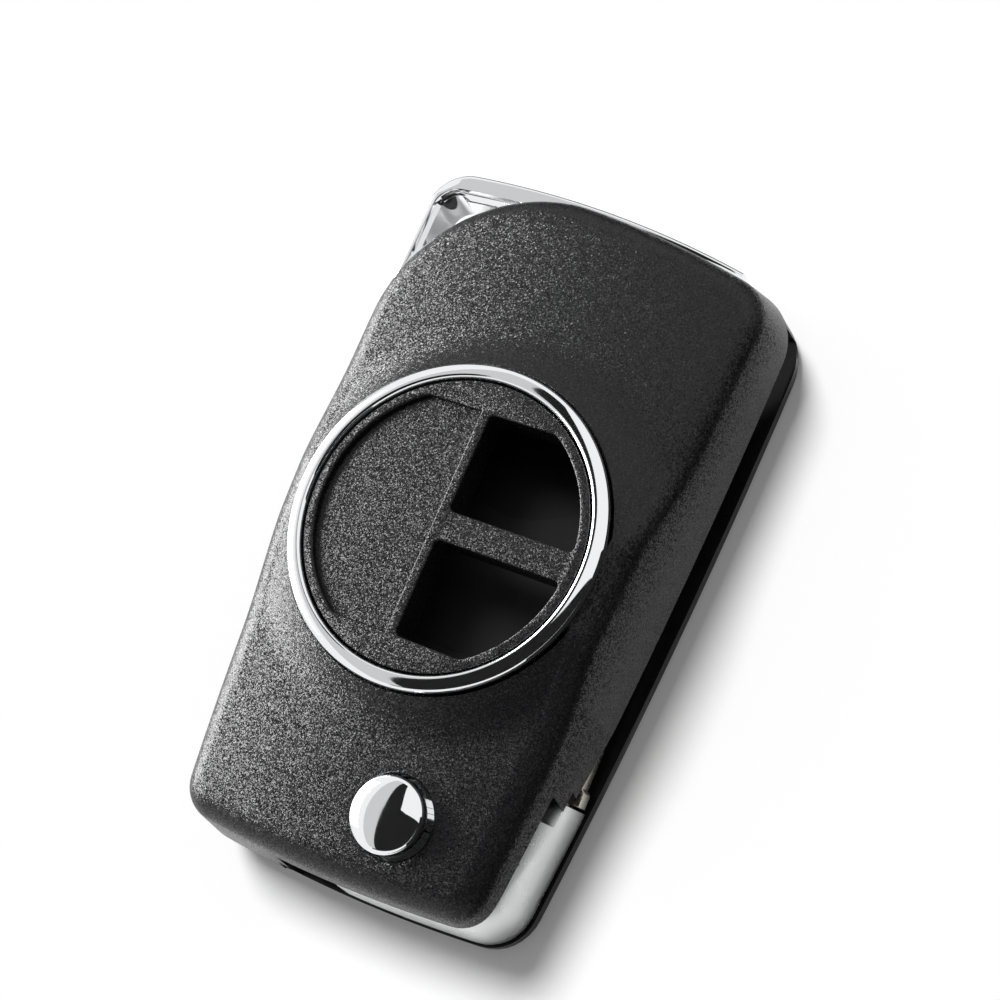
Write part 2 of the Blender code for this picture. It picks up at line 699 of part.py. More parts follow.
def make_front_shell():
    shell = loft("front_shell", front_outer(), BLACK_SPARKLE)
    cut(shell, loft("front_cavity", front_cavity()))
    bosses = []
    for number, place in enumerate(SCREW_PLACES, 1):
        bosses.append(turned(f"screw_boss_{number}", [
            (0.0, screw_seat(place)), (SCREW_BOSS_R, screw_seat(place)),
            (SCREW_BOSS_R, SCREW_BOSS_LOW_Z), (0.0, SCREW_BOSS_LOW_Z)],
            centre=place, steps=20))
    join(shell, *bosses)
    for number, place in enumerate(SCREW_PLACES, 1):
        top = SCREW_HEAD_RECESS + SCREW_HEAD_HEIGHT + SCREW_LENGTH + SCREW_GAP
        radius = SCREW_R + SCREW_GAP
        cut(shell, turned(f"pilot_hole_{number}", [
            (0.0, top), (radius, top), (radius, 0.0), (0.0, 0.0)], centre=place, steps=16))
    cut(shell,
        hub_clearance("hub_sweep_front", 0.0, HUB_STEP_Z + PARTING_GAP, HUB_TOP_Z + PARTING_GAP),
        rim_relief())
    web_space = corner_lens(FRAME_INSET + FRAME_BAND / 2, FRAME_DIAGONAL_Y, FRAME_DIAGONAL_X,
                            PARTING_GAP)
    cut(shell,
        plate("frame_band_space", frame_band(-PAST, PARTING_GAP),
              0.0, FRAME_TOP_Z + PARTING_GAP),
        plate("frame_web_space", web_space, PAST, FRAME_FLOOR_Z + PARTING_GAP))
    flange_top = FLANGE_TOP_Z + RUNNING_GAP
    flange_r = max(FLANGE_R, LUG_REACH) + RUNNING_GAP
    cut(shell, turned("button_hole", [
        (0.0, BODY_THICKNESS + PAST), (BUTTON_HOLE_R, BODY_THICKNESS + PAST),
        (BUTTON_HOLE_R, flange_top), (flange_r, flange_top),
        (flange_r, HUB_TOP_Z), (0.0, HUB_TOP_Z)]))
    cut(shell, plate("emblem_recess", emblem_outline(),
                     BODY_THICKNESS - EMBLEM_DEPTH, BODY_THICKNESS + PAST))
    for name, side in (("window_upper", 1), ("window_lower", -1)):
        cut(shell, plate(name, window_outline(side), FRONT_RIM_Z, BODY_THICKNESS + PAST))
    smooth(shell)
    return shell


def make_back_shell():
    rows = []
    for turn in (0, 30, 60, 90):
        inset = BACK_FILLET * (1 - math.sin(math.radians(turn)))
        height = BACK_FILLET * (1 - math.cos(math.radians(turn)))
        rows.append([(x, y, height) for x, y in BODY.points(inset)])
    wall_top = FRONT_RIM_Z - PARTING_GAP
    rows.append([(x, y, wall_top) for x, y in BODY.points(BACK_WALL_LEAN)])
    shell = loft("back_shell", rows, BLACK_PLAIN)

    rib_x = BLADE_INNER_X - BLADE_SIDE_GAP - RIB_WIDTH
    pocket = clip(BODY.points(BACK_WALL), (rib_x, 0.0), (-1.0, 0.0))
    pocket = clip(pocket, (0.0, POCKET_LOW_Y), (0.0, 1.0))
    point, normal = diagonal(FRAME_DIAGONAL_Y, FRAME_DIAGONAL_X, PARTING_GAP + RIB_WIDTH)
    pocket = clip(pocket, point, -normal)
    open_corner = corner_lens(-PAST, LOOP_DIAGONAL_Y, LOOP_DIAGONAL_X)
    cut(shell,
        plate("board_pocket", pocket, BACK_FLOOR, wall_top + PAST),
        plate("mechanism_space", mechanism_footprint(), SLOT_FLOOR_Z, wall_top + 2 * PAST),
        plate("frame_space", frame_footprint(-PAST, PARTING_GAP),
              SLOT_FLOOR_Z, wall_top + 3 * PAST),
        plate("open_corner", open_corner, -PAST, SLOT_FLOOR_Z + PAST))

    for number, place in enumerate(TRAY_POSTS, 1):
        join(shell, turned(f"tray_post_{number}", [
            (0.0, TRAY_BOTTOM_Z - PARTING_GAP), (TRAY_POST_R, TRAY_BOTTOM_Z - PARTING_GAP),
            (TRAY_POST_R, BACK_FLOOR / 2), (0.0, BACK_FLOOR / 2)], centre=place, steps=16))
    boss_end = SCREW_BOSS_LOW_Z - PARTING_GAP
    socket_r = SCREW_BOSS_R + PARTING_GAP
    for number, place in enumerate(SCREW_PLACES, 1):
        pad_top = boss_end + SCREW_SOCKET_DEPTH
        pad_r = socket_r + SCREW_SOCKET_WALL
        join(shell, turned(f"screw_pad_{number}", [
            (0.0, pad_top), (pad_r, pad_top), (pad_r, BACK_FLOOR / 2), (0.0, BACK_FLOOR / 2)],
            centre=place, steps=24))
    bearing_top = SLOT_FLOOR_Z + BEARING_HEIGHT
    join(shell,
         turned("bearing_ring", [
             (BEARING_OUTER_R, bearing_top), (BEARING_OUTER_R, BACK_FLOOR),
             (BEARING_INNER_R, BACK_FLOOR), (BEARING_INNER_R, bearing_top)], steps=32),
         turned("spring_post", [
             (0.0, SLOT_FLOOR_Z + POST_HEIGHT), (POST_R, SLOT_FLOOR_Z + POST_HEIGHT),
             (POST_R, BACK_FLOOR), (0.0, BACK_FLOOR)], steps=24))
    for number, place in enumerate(SCREW_PLACES, 1):
        head_top = SCREW_HEAD_RECESS + SCREW_HEAD_HEIGHT + SCREW_GAP
        head_r = SCREW_HEAD_R + SCREW_GAP
        shank_r = SCREW_R + SCREW_GAP
        cut(shell, turned(f"screw_hole_{number}", [
            (0.0, FRONT_RIM_Z + PAST), (socket_r, FRONT_RIM_Z + PAST), (socket_r, boss_end),
            (shank_r, boss_end), (shank_r, head_top),
            (head_r, head_top), (head_r, -PAST), (0.0, -PAST)], centre=place, steps=24))
    smooth(shell)
    return shell


def mechanism_footprint():
    """Plan of the space that the hub and the blade need, folded, turning and open."""
    slot_left = BLADE_INNER_X - BLADE_SIDE_GAP
    open_left = 2 * PIVOT_X - BLADE_OUTER_X - SHOULDER_STEP - BLADE_SIDE_GAP
    start = math.acos((slot_left - PIVOT_X) / SWEEP_R)
    end = 2 * math.pi - math.acos((open_left - PIVOT_X) / SWEEP_R)
    below = CORNER_LOW_LEFT[1] - 4 * PAST
    beyond = CORNER_TOP_RIGHT[0] + 4 * PAST
    return arc(PIVOT, SWEEP_R, start, end, TURN_STEPS) + [
        (open_left, below), (beyond, below), (beyond, SLOT_END_Y), (slot_left, SLOT_END_Y)]


def make_keyring_frame():
    """Chrome corner insert: a raised band, a ledge, a lower foot and the hole for a key ring."""
    frame = plate("keyring_frame", frame_footprint(FRAME_INSET, 0.0),
                  FRAME_BOTTOM_Z, FRAME_TOP_Z, CHROME)
    band = FRAME_INSET + FRAME_BAND
    pocket = corner_lens(band + FRAME_POCKET_STEP, FRAME_DIAGONAL_Y, FRAME_DIAGONAL_X, 2 * PAST)
    ledge = loop_lens(band, PARTING_GAP)
    loop_hole = loop_lens(band + LEDGE_WIDTH, 0.0)
    below = corner_lens(-PAST, LOOP_DIAGONAL_Y, LOOP_DIAGONAL_X, -PARTING_GAP)
    cut(frame,
        plate("frame_pocket", pocket, FRAME_FLOOR_Z, FRAME_TOP_Z + PAST),
        plate("frame_ledge", ledge, FRAME_TOP_Z - LEDGE_DROP, FRAME_TOP_Z + 2 * PAST),
        plate("loop_hole", loop_hole, FRAME_BOTTOM_Z - PAST, FRAME_TOP_Z + 3 * PAST),
        plate("loop_underside", below, FRAME_BOTTOM_Z - 2 * PAST, LOOP_BOTTOM_Z))
    smooth(frame)
    return frame


def loop_lens(inset, back):
    """The key ring hole's plan. Its left rim is thinner than its top rim."""
    loop = [(x - LOOP_LEFT_SHIFT, y) for x, y in BODY.points(inset, *EDGE_STEPS)]
    return clip(loop, *diagonal(LOOP_DIAGONAL_Y, LOOP_DIAGONAL_X, back))


def make_bezel_ring():
    """Convex chrome ring that drops into the seat round the disc."""
    top = BODY_THICKNESS
    low = SEAT_FLOOR_Z + PARTING_GAP
    middle = (RING_OUTER_R + RING_INNER_R) / 2
    half = (RING_OUTER_R - RING_INNER_R) / 2
    side_top = top - SEAT_LIP_DROP / 2
    profile = []
    for step in range(9):
        turn = math.pi * (0.06 + 0.88 * step / 8)
        radius = middle - half * math.cos(turn)
        profile.append((radius, side_top + (top + RING_CROWN - side_top) * math.sin(turn)))
    profile[0] = (RING_INNER_R, profile[0][1])
    profile[-1] = (RING_OUTER_R, profile[-1][1])
    profile += [(RING_OUTER_R, low), (RING_INNER_R, low)]
    ring = turned("bezel_ring", profile, CHROME, centre=(0.0, 0.0), steps=RING_STEPS)
    smooth(ring)
    return ring


def make_blade_hub():
    """Chrome block that fills the fob's corner and turns about the release button."""
    rows = []
    for height, inset in (
            (HUB_BOTTOM_Z, 0.0), (FRONT_RIM_Z, FRONT_INSET),
            (HUB_TOP_Z, FRONT_INSET + (HUB_TOP_Z - FRONT_RIM_Z) * math.tan(WALL_DRAFT))):
        rows.append([(x, y, height) for x, y in FRONT.points(HUB_INSET + inset)])
    envelope = loft("hub_envelope", rows, parent=FLIP_AXIS)
    reach_x = CORNER_LOW_RIGHT[0] + 4 * PAST
    below = CORNER_LOW_RIGHT[1] - 4 * PAST
    turn_in = math.asin(HUB_REACH_Y / HUB_DISC_R)
    footprint = arc(PIVOT, HUB_DISC_R, turn_in, 1.5 * math.pi, 28)
    footprint += [(PIVOT_X, below), (reach_x, below), (reach_x, HUB_END_Y)]
    hub = plate("blade_hub", footprint, HUB_BOTTOM_Z - PAST, HUB_TOP_Z + PAST,
                CHROME, FLIP_AXIS)
    combine(hub, envelope, 'INTERSECT', 'MANIFOLD')
    step = rectangle(PIVOT_X + HUB_STEP_X, HUB_UPPER_END_Y, reach_x + PAST, HUB_END_Y + 4 * PAST)
    tang_left = BLADE_MIDDLE_X - TANG_WIDTH / 2 - RUNNING_GAP
    tang_right = BLADE_MIDDLE_X + TANG_WIDTH / 2 + RUNNING_GAP
    tang_end = TANG_END_Y - RUNNING_GAP
    blade_left = BLADE_INNER_X - RUNNING_GAP
    blade_low = BLADE_START_Y - RUNNING_GAP * 0.8
    blade_high = HUB_END_Y + 5 * PAST
    socket = [(tang_left, tang_end), (tang_right, tang_end), (tang_right, blade_low),
              (reach_x, blade_low), (reach_x, blade_high), (blade_left, blade_high),
              (blade_left, blade_low), (tang_left, blade_low)]
    clear_z = RUNNING_GAP * 2 / 3
    lug_slot_low = LUG_LOW_Z - BUTTON_TRAVEL - RUNNING_GAP
    stem_bore_low = STEM_LOW_Z - BUTTON_TRAVEL - RUNNING_GAP
    lug_half = LUG_WIDTH / 2 + RUNNING_GAP
    lug_slot = rectangle(PIVOT_X - LUG_REACH - RUNNING_GAP, PIVOT_Y - lug_half,
                         PIVOT_X + LUG_REACH + RUNNING_GAP, PIVOT_Y + lug_half)
    bore_r = STEM_OUTER_R + RUNNING_GAP
    seat_r = BEARING_OUTER_R + RUNNING_GAP
    seat_top = SLOT_FLOOR_Z + BEARING_HEIGHT + RUNNING_GAP
    cut(hub,
        plate("hub_step", step, HUB_STEP_Z, HUB_TOP_Z + 2 * PAST, parent=FLIP_AXIS),
        plate("tang_socket", socket, BLADE_BOTTOM_Z - clear_z, BLADE_TOP_Z + clear_z,
              parent=FLIP_AXIS),
        turned("hub_bore", [
            (0.0, HUB_TOP_Z + PAST), (bore_r, HUB_TOP_Z + PAST), (bore_r, stem_bore_low),
            (HUB_BORE_R, stem_bore_low), (HUB_BORE_R, seat_top), (seat_r, seat_top),
            (seat_r, HUB_BOTTOM_Z - PAST), (0.0, HUB_BOTTOM_Z - PAST)], parent=FLIP_AXIS,
            steps=40),
        plate("lug_slots", lug_slot, lug_slot_low, HUB_TOP_Z + PAST, parent=FLIP_AXIS),
        plate("pin_hole", circle(PIN_PLACE, PIN_R + PIN_CLEARANCE, 20),
              HUB_BOTTOM_Z - PAST, HUB_TOP_Z + PAST, parent=FLIP_AXIS),
        solver='MANIFOLD')
    smooth(hub)
    return hub


def make_key_blade():
    """Uncut flat blank: a tang with a pin hole, a shoulder, two grooves and a pointed tip."""
    inner, outer = BLADE_INNER_X, BLADE_OUTER_X
    tang_left = BLADE_MIDDLE_X - TANG_WIDTH / 2
    tang_right = BLADE_MIDDLE_X + TANG_WIDTH / 2
    shoulder = BLADE_START_Y + SHOULDER_LENGTH
    step = SHOULDER_STEP
    chamfer = BLADE_TIP_CHAMFER
    loop = [
        (tang_left, TANG_END_Y), (tang_right, TANG_END_Y), (tang_right, BLADE_START_Y),
        (outer + step, BLADE_START_Y), (outer + step, shoulder), (outer, shoulder + step),
        (outer, BLADE_TIP_Y - chamfer), (outer - chamfer, BLADE_TIP_Y),
        (inner + chamfer, BLADE_TIP_Y), (inner, BLADE_TIP_Y - chamfer),
        (inner, BLADE_START_Y), (tang_left, BLADE_START_Y)]
    blade = plate("key_blade", loop, BLADE_BOTTOM_Z, BLADE_TOP_Z, NICKEL_SILVER, FLIP_AXIS)
    groove_end = BLADE_TIP_Y + PAST
    upper = rectangle(BLADE_MIDDLE_X - GROOVE_WIDTH, shoulder + 2 * PAST,
                      BLADE_MIDDLE_X, groove_end)
    lower = rectangle(BLADE_MIDDLE_X, shoulder + 2 * PAST,
                      BLADE_MIDDLE_X + GROOVE_WIDTH, groove_end)
    cut(blade,
        plate("upper_groove", upper, BLADE_TOP_Z - GROOVE_DEPTH, BLADE_TOP_Z + PAST,
              parent=FLIP_AXIS),
        plate("lower_groove", lower, BLADE_BOTTOM_Z - PAST, BLADE_BOTTOM_Z + GROOVE_DEPTH,
              parent=FLIP_AXIS),
        plate("blade_pin_hole", circle(PIN_PLACE, PIN_R + PIN_CLEARANCE, 20),
              BLADE_BOTTOM_Z - 2 * PAST, BLADE_TOP_Z + 2 * PAST, parent=FLIP_AXIS),
        solver='MANIFOLD')
    smooth(blade)
    return blade


def make_blade_pin():
    """Slotted roll pin that holds the blade's tang in the hub."""
    wall = PIN_R / 3
    turn = math.radians(25)
    outer = arc(PIN_PLACE, PIN_R, turn, 2 * math.pi - turn, 18)
    inner = arc(PIN_PLACE, PIN_R - wall, turn, 2 * math.pi - turn, 18)
    return plate("blade_pin", outer + list(reversed(inner)),
                 HUB_BOTTOM_Z + PARTING_GAP, HUB_STEP_Z - PARTING_GAP, SPRING_STEEL, FLIP_AXIS)


def make_release_button():
    """Domed push button: skirt, retaining flange, hollow stem and two driving lugs."""
    face = face_height(*PIVOT)
    rim = face + BUTTON_PROUD
    dome = [(BUTTON_R * math.sin(math.radians(a)),
             rim + BUTTON_DOME_RISE * math.cos(math.radians(a))) for a in range(0, 100, 10)]
    profile = dome + [
        (BUTTON_R, FLANGE_TOP_Z), (FLANGE_R, FLANGE_TOP_Z),
        (FLANGE_R, FLANGE_LOW_Z), (STEM_OUTER_R, FLANGE_LOW_Z),
        (STEM_OUTER_R, STEM_LOW_Z), (STEM_INNER_R, STEM_LOW_Z),
        (STEM_INNER_R, SPRING_SEAT_Z), (0.0, SPRING_SEAT_Z)]
    button = turned("release_button", profile, CHROME, FLIP_AXIS, steps=TURN_STEPS)
    for number, side in enumerate((1, -1), 1):
        near = PIVOT_X + side * (STEM_INNER_R + STEM_OUTER_R) / 2
        far = PIVOT_X + side * LUG_REACH
        lug = rectangle(min(near, far), PIVOT_Y - LUG_WIDTH / 2,
                        max(near, far), PIVOT_Y + LUG_WIDTH / 2)
        join(button, plate(f"button_lug_{number}", lug, LUG_LOW_Z,
                           FLANGE_LOW_Z + FLANGE_THICKNESS / 2, parent=FLIP_AXIS))
    smooth(button)
    return button


def make_flip_spring():
    """Coil that both lifts the button and turns the hub, with closed end turns."""
    low = SLOT_FLOOR_Z + WASHER_THICKNESS + 2 * PARTING_GAP + SPRING_WIRE_R
    high = SPRING_SEAT_Z - PARTING_GAP - SPRING_WIRE_R
    free_turns = SPRING_TURNS - 2 * SPRING_END_TURNS
    free_pitch = (high - low - 2 * SPRING_END_TURNS * SPRING_END_PITCH) / free_turns
    curve = bpy.data.curves.new("flip_spring_path", 'CURVE')
    curve.dimensions = '3D'
    curve.bevel_depth = SPRING_WIRE_R
    curve.bevel_resolution = 2
    curve.use_fill_caps = True
    steps = SPRING_TURNS * SPRING_STEPS_PER_TURN
    spline = curve.splines.new('POLY')
    spline.points.add(steps)
    for i, point in enumerate(spline.points):
        turn = i / SPRING_STEPS_PER_TURN
        free = min(max(turn - SPRING_END_TURNS, 0.0), free_turns)
        height = low + SPRING_END_PITCH * (turn - free) + free_pitch * free
        point.co = (PIVOT_X + SPRING_MEAN_R * math.cos(2 * math.pi * turn),
                    PIVOT_Y + SPRING_MEAN_R * math.sin(2 * math.pi * turn), height, 1.0)
    spring = from_curve("flip_spring", curve, SPRING_STEEL, FOB_FRAME)
    spring.data.shade_smooth()
    return spring


def make_spring_washer():
    low = SLOT_FLOOR_Z + PARTING_GAP
    outer = BEARING_INNER_R - PARTING_GAP
    inner = POST_R + PARTING_GAP
    washer = turned("spring_washer", [
        (outer, low + WASHER_THICKNESS), (outer, low), (inner, low),
        (inner, low + WASHER_THICKNESS)], SPRING_STEEL, steps=32)
    smooth(washer)
    return washer


def make_board_tray():
    """Open tray for the remote's circuit board, with a round battery well in its floor."""
    outline = rounded(rectangle(TRAY_LEFT_X, TRAY_LOW_Y, TRAY_RIGHT_X, TRAY_HIGH_Y),
                      TRAY_CORNER_R)
    tray = plate("board_tray", outline, TRAY_BOTTOM_Z, TRAY_TOP_Z, BLACK_PLAIN)
    inside = rounded(rectangle(TRAY_LEFT_X + TRAY_WALL, TRAY_LOW_Y + TRAY_WALL,
                               TRAY_RIGHT_X - TRAY_WALL, TRAY_HIGH_Y - TRAY_WALL),
                     TRAY_CORNER_R - TRAY_WALL)
    floor_top = TRAY_BOTTOM_Z + TRAY_FLOOR
    well = circle(((TRAY_LEFT_X + TRAY_RIGHT_X) / 2, BATTERY_Y), BATTERY_R, 36)
    gate = rectangle(TRAY_LEFT_X + TRAY_CORNER_R + 4 * PAST, TRAY_LOW_Y - PAST,
                     TRAY_RIGHT_X - TRAY_CORNER_R - 4 * PAST, TRAY_LOW_Y + 2 * PAST)
    cut(tray,
        plate("tray_inside", inside, floor_top, TRAY_TOP_Z + PAST),
        plate("battery_well", well, floor_top - BATTERY_DEPTH, TRAY_TOP_Z),
        plate("tray_gate", gate, floor_top + TRAY_WALL, TRAY_TOP_Z + PAST))
    smooth(tray)
    return tray


def make_screws():
    """Pan-head screws with a cross recess, each in its own place."""
    low = SCREW_HEAD_RECESS
    neck = low + SCREW_HEAD_HEIGHT
    for number, place in enumerate(SCREW_PLACES, 1):
        screw = turned(f"housing_screw_{number}", [
            (0.0, neck + SCREW_LENGTH), (SCREW_R * 0.45, neck + SCREW_LENGTH - SCREW_R * 0.6),
            (SCREW_R, neck + SCREW_LENGTH - 2 * SCREW_R), (SCREW_R, neck),
            (SCREW_HEAD_R, neck), (SCREW_HEAD_R, low + SCREW_HEAD_HEIGHT / 3),
            (SCREW_HEAD_R * 0.8, low), (0.0, low)], SCREW_STEEL, centre=place, steps=20)
        half = SCREW_HEAD_R / 6
        for name, width, depth in (("cross_a", half, SCREW_R), ("cross_b", SCREW_R, half)):
            slot = rectangle(place[0] - width, place[1] - depth, place[0] + width, place[1] + depth)
            cut(screw, plate(f"{name}_{number}", slot, low - PAST, low + SCREW_HEAD_HEIGHT / 2))
        smooth(screw)


def build():
    make_front_shell()
    make_back_shell()
    make_bezel_ring()
    make_keyring_frame()
    make_blade_hub()
    make_key_blade()
    make_blade_pin()
    make_release_button()
    make_flip_spring()
    make_spring_washer()
    make_board_tray()
    make_screws()


build()
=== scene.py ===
import json
import math

import bmesh
import bpy
import numpy as np
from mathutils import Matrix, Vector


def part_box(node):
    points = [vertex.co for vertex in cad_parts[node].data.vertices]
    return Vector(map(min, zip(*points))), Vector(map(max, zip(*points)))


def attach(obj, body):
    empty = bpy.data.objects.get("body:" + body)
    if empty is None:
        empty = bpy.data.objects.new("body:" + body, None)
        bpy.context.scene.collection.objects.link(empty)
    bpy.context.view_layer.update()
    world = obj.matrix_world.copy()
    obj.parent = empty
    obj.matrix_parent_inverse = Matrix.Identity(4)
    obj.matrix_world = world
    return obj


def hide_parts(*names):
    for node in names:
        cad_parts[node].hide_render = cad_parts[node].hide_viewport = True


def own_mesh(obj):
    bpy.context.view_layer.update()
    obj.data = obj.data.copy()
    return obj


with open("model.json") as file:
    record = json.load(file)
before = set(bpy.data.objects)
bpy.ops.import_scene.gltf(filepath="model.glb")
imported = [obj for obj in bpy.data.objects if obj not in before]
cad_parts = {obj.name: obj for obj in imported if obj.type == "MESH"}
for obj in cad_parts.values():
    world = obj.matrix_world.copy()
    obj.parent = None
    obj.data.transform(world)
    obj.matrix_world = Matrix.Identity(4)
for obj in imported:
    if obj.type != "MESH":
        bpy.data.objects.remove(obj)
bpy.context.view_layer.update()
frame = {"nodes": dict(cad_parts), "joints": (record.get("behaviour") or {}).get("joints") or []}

MM = 0.001

# The design frame's zero is the ring's centre, and the flip axis comes from the joint.
RING_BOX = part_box("bezel_ring")
ORIGIN_X = (RING_BOX[0].x + RING_BOX[1].x) / 2
ORIGIN_Y = (RING_BOX[0].y + RING_BOX[1].y) / 2
FLIP = next(joint for joint in frame["joints"] if joint["name"] == "blade_flip")
PIVOT = (FLIP["pos_m"][0] - ORIGIN_X, FLIP["pos_m"][1] - ORIGIN_Y)

# Plan outline, as in the solid model: sharp corners, bows and roundings.
CORNERS = ((-16.7 * MM, -32.6 * MM), (16.4 * MM, -31.6 * MM),
           (20.0 * MM, 30.6 * MM), (-20.0 * MM, 35.2 * MM))
BOWS = (1.0 * MM, 0.75 * MM, 2.0 * MM, 1.1 * MM)
BODY_RADII = (4.6 * MM, 4.6 * MM, 6.2 * MM, 4.4 * MM)
FRONT_RADII = (4.6 * MM, 4.6 * MM, 6.2 * MM, 17.0 * MM)

# Front moulding.
BODY_TOP = 16.4 * MM
RIM_Z = 5.6 * MM
GAP = 0.3 * MM
FACE_MIDDLE_Z = 14.7 * MM
CROWN_DROP = (0.9 * MM, 1.6 * MM)
CROWN_REACH = (16.0 * MM, 33.0 * MM)
FRONT_INSET = 0.25 * MM
WALL_DRAFT = math.radians(12.5)
EDGE_FILLET = 3.0 * MM
FILLET_END = math.radians(80)
WALL = 1.6 * MM
CEILING_Z = 13.1 * MM
BOSS_WIDTH = 4.6 * MM
LIP_Z = 15.7 * MM
SEAT_R = 15.14 * MM
DISC_R = 13.32 * MM
SEAT_FLOOR_Z = 14.4 * MM

# Cut-outs.
EMBLEM_EDGE_X = -0.9 * MM
EMBLEM_HALF_HEIGHT = 10.6 * MM
EMBLEM_R = 12.4 * MM
EMBLEM_DEPTH = 0.6 * MM
WINDOW_LEFT_X = 0.08 * MM
WINDOW_INNER_Y = (1.50 * MM, 1.24 * MM)
WINDOW_OUTER_Y = 10.5 * MM
WINDOW_R = 12.4 * MM
WINDOW_CORNER_R = 0.5 * MM
WINDOW_SHOULDER_R = 1.6 * MM
HUB_TOP_Z = 9.4 * MM
HUB_STEP_Z = 7.0 * MM
SWEEP_R = 14.056 * MM
SWEEP_UPPER_R = 13.002 * MM
RELIEF_START_Y = -18.0 * MM
RELIEF_END_Y = -9.0 * MM
RELIEF_RISE = 0.9 * MM
RELIEF_X = (13.0 * MM, 21.0 * MM)
HOLE_R = 3.6 * MM
FLANGE_SPACE_R = 5.6 * MM
FLANGE_SPACE_Z = 12.1 * MM
BAND_TOP_Z = 9.2 * MM
WEB_TOP_Z = 7.2 * MM
BAND_INNER_INSET = 2.25 * MM
BAND_END_Y = 19.2 * MM
BAND_END_X = 14.3 * MM
WEB_INSET = 1.05 * MM
FRAME_INSET = 0.15 * MM
RIM_ROUND = 0.5 * MM
WEB_DIAGONAL = (22.0 * MM, -6.0 * MM)

# Small roundings that the light catches.
DISC_EDGE = 0.12 * MM
SEAT_EDGE = 0.15 * MM
WINDOW_EDGE = 0.18 * MM
EMBLEM_EDGE = 0.2 * MM
RIM_EDGE = 0.15 * MM
HOLE_EDGE = 0.35 * MM

# Ring and button.
RING_OUTER_R = 15.0 * MM
RING_INNER_R = 13.45 * MM
RING_SIDE_Z = 16.05 * MM
RING_CROWN_Z = 16.75 * MM
RING_LOW_Z = 14.7 * MM
BUTTON_R = 3.35 * MM
BUTTON_DOME_RISE = 0.95 * MM
BUTTON_DOME_POWER = 2.3
RING_CREST = 0.24

# Screw bosses inside the front moulding.
SCREW_PLACES = ((-13.2 * MM, -24.6 * MM), (-14.9 * MM, 11.0 * MM), (2.0 * MM, 29.0 * MM))
BOSS_R = 2.1 * MM
BOSS_LOW_Z = 2.8 * MM
PILOT_R = 1.2 * MM
PILOT_TOP_Z = 8.8 * MM

# How far cutters reach past a face, and other small measures of the making.
PAST = 1.0 * MM
WELD = 0.00001
TIP_R = 0.02 * MM
FINE_EDGE = 0.12 * MM
BLADE_EDGE = 0.1 * MM
CAP_DEPTH = 3.0 * MM
CAP_DROP = 0.002 * MM
RIM_SEARCH = 0.08 * MM

# Black plastic with flakes.
SPARKLE_BLACK = (0.007, 0.007, 0.008)
FLAKE_COLOUR = (0.05, 0.05, 0.051)
FLAKE_SCALE = 11000.0
FLAKE_LEAN = 0.46
FLAKE_START = 0.72

# Studio. Strengths are relative to white, sizes and places are in metres.
WHITE = (1.0, 1.0, 1.0, 1.0)
WORLD_SEEN = 1.0
WORLD_LIT = 0.18
FLOOR_SHADE = 0.90
FLOOR_GLOW = 0.10
FLOOR_SIZE = 2.5
FLOOR_DROP = 0.03 * MM
CARD_SHADE = 0.02
CAMERA_PLACE = (62.310 * MM, -20.710 * MM, 138.607 * MM)
CAMERA_TURN = (19.601, 19.312, 24.477)
CAMERA_LENS = 57.6
SENSOR_WIDTH = 36.0


class Outline:
    """A plan outline of four bowed sides and four rounded corners, anticlockwise."""

    def __init__(self, radii):
        self.radii = radii
        self.sides = [self.side_circle(CORNERS[i], CORNERS[(i + 1) % 4], BOWS[i])
                      for i in range(4)]

    @staticmethod
    def side_circle(start, end, bow):
        start = np.array(start)
        end = np.array(end)
        chord = np.linalg.norm(end - start)
        along = (end - start) / chord
        outward = np.array((along[1], -along[0]))
        radius = (chord * chord / 4 + bow * bow) / (2 * bow)
        return (start + end) / 2 - outward * (radius - bow), radius

    def corner_circle(self, index, inset):
        centre_a, radius_a = self.sides[index - 1]
        centre_b, radius_b = self.sides[index]
        radius = max(self.radii[index] - inset, 0.3 * MM)
        reach_a = radius_a - inset - radius
        reach_b = radius_b - inset - radius
        distance = np.linalg.norm(centre_b - centre_a)
        between = (centre_b - centre_a) / distance
        along = (distance ** 2 + reach_a ** 2 - reach_b ** 2) / (2 * distance)
        across = math.sqrt(max(reach_a ** 2 - along ** 2, 0.0))
        foot = centre_a + between * along
        normal = np.array((-between[1], between[0]))
        options = (foot + normal * across, foot - normal * across)
        target = np.array(CORNERS[index])
        return min(options, key=lambda p: np.linalg.norm(p - target)), radius

    def points(self, inset=0.0, corner_steps=18, side_steps=36):
        loop = []
        for index in range(4):
            here, radius = self.corner_circle(index, inset)
            after, _ = self.corner_circle((index + 1) % 4, inset)
            before_side = self.sides[index - 1][0]
            side, side_radius = self.sides[index]
            start = math.atan2(*(here - before_side)[::-1])
            turn = math.atan2(*(here - side)[::-1])
            end = math.atan2(*(after - side)[::-1])
            loop += arc(here, radius, start, turn, corner_steps)
            loop += arc(side, side_radius - inset, turn, end, side_steps)[1:-1]
        return loop

    def reach(self, inset, angles):
        loop = np.array(self.points(inset, 48, 120))
        direction = np.unwrap(np.arctan2(loop[:, 1], loop[:, 0]))
        distance = np.hypot(loop[:, 0], loop[:, 1])
        order = np.argsort(direction)
        return np.interp(angles, direction[order], distance[order], period=2 * math.pi)


def arc(centre, radius, start, end, steps):
    while end < start:
        end += 2 * math.pi
    turns = np.linspace(start, end, steps + 1)
    return [(centre[0] + radius * math.cos(t), centre[1] + radius * math.sin(t)) for t in turns]


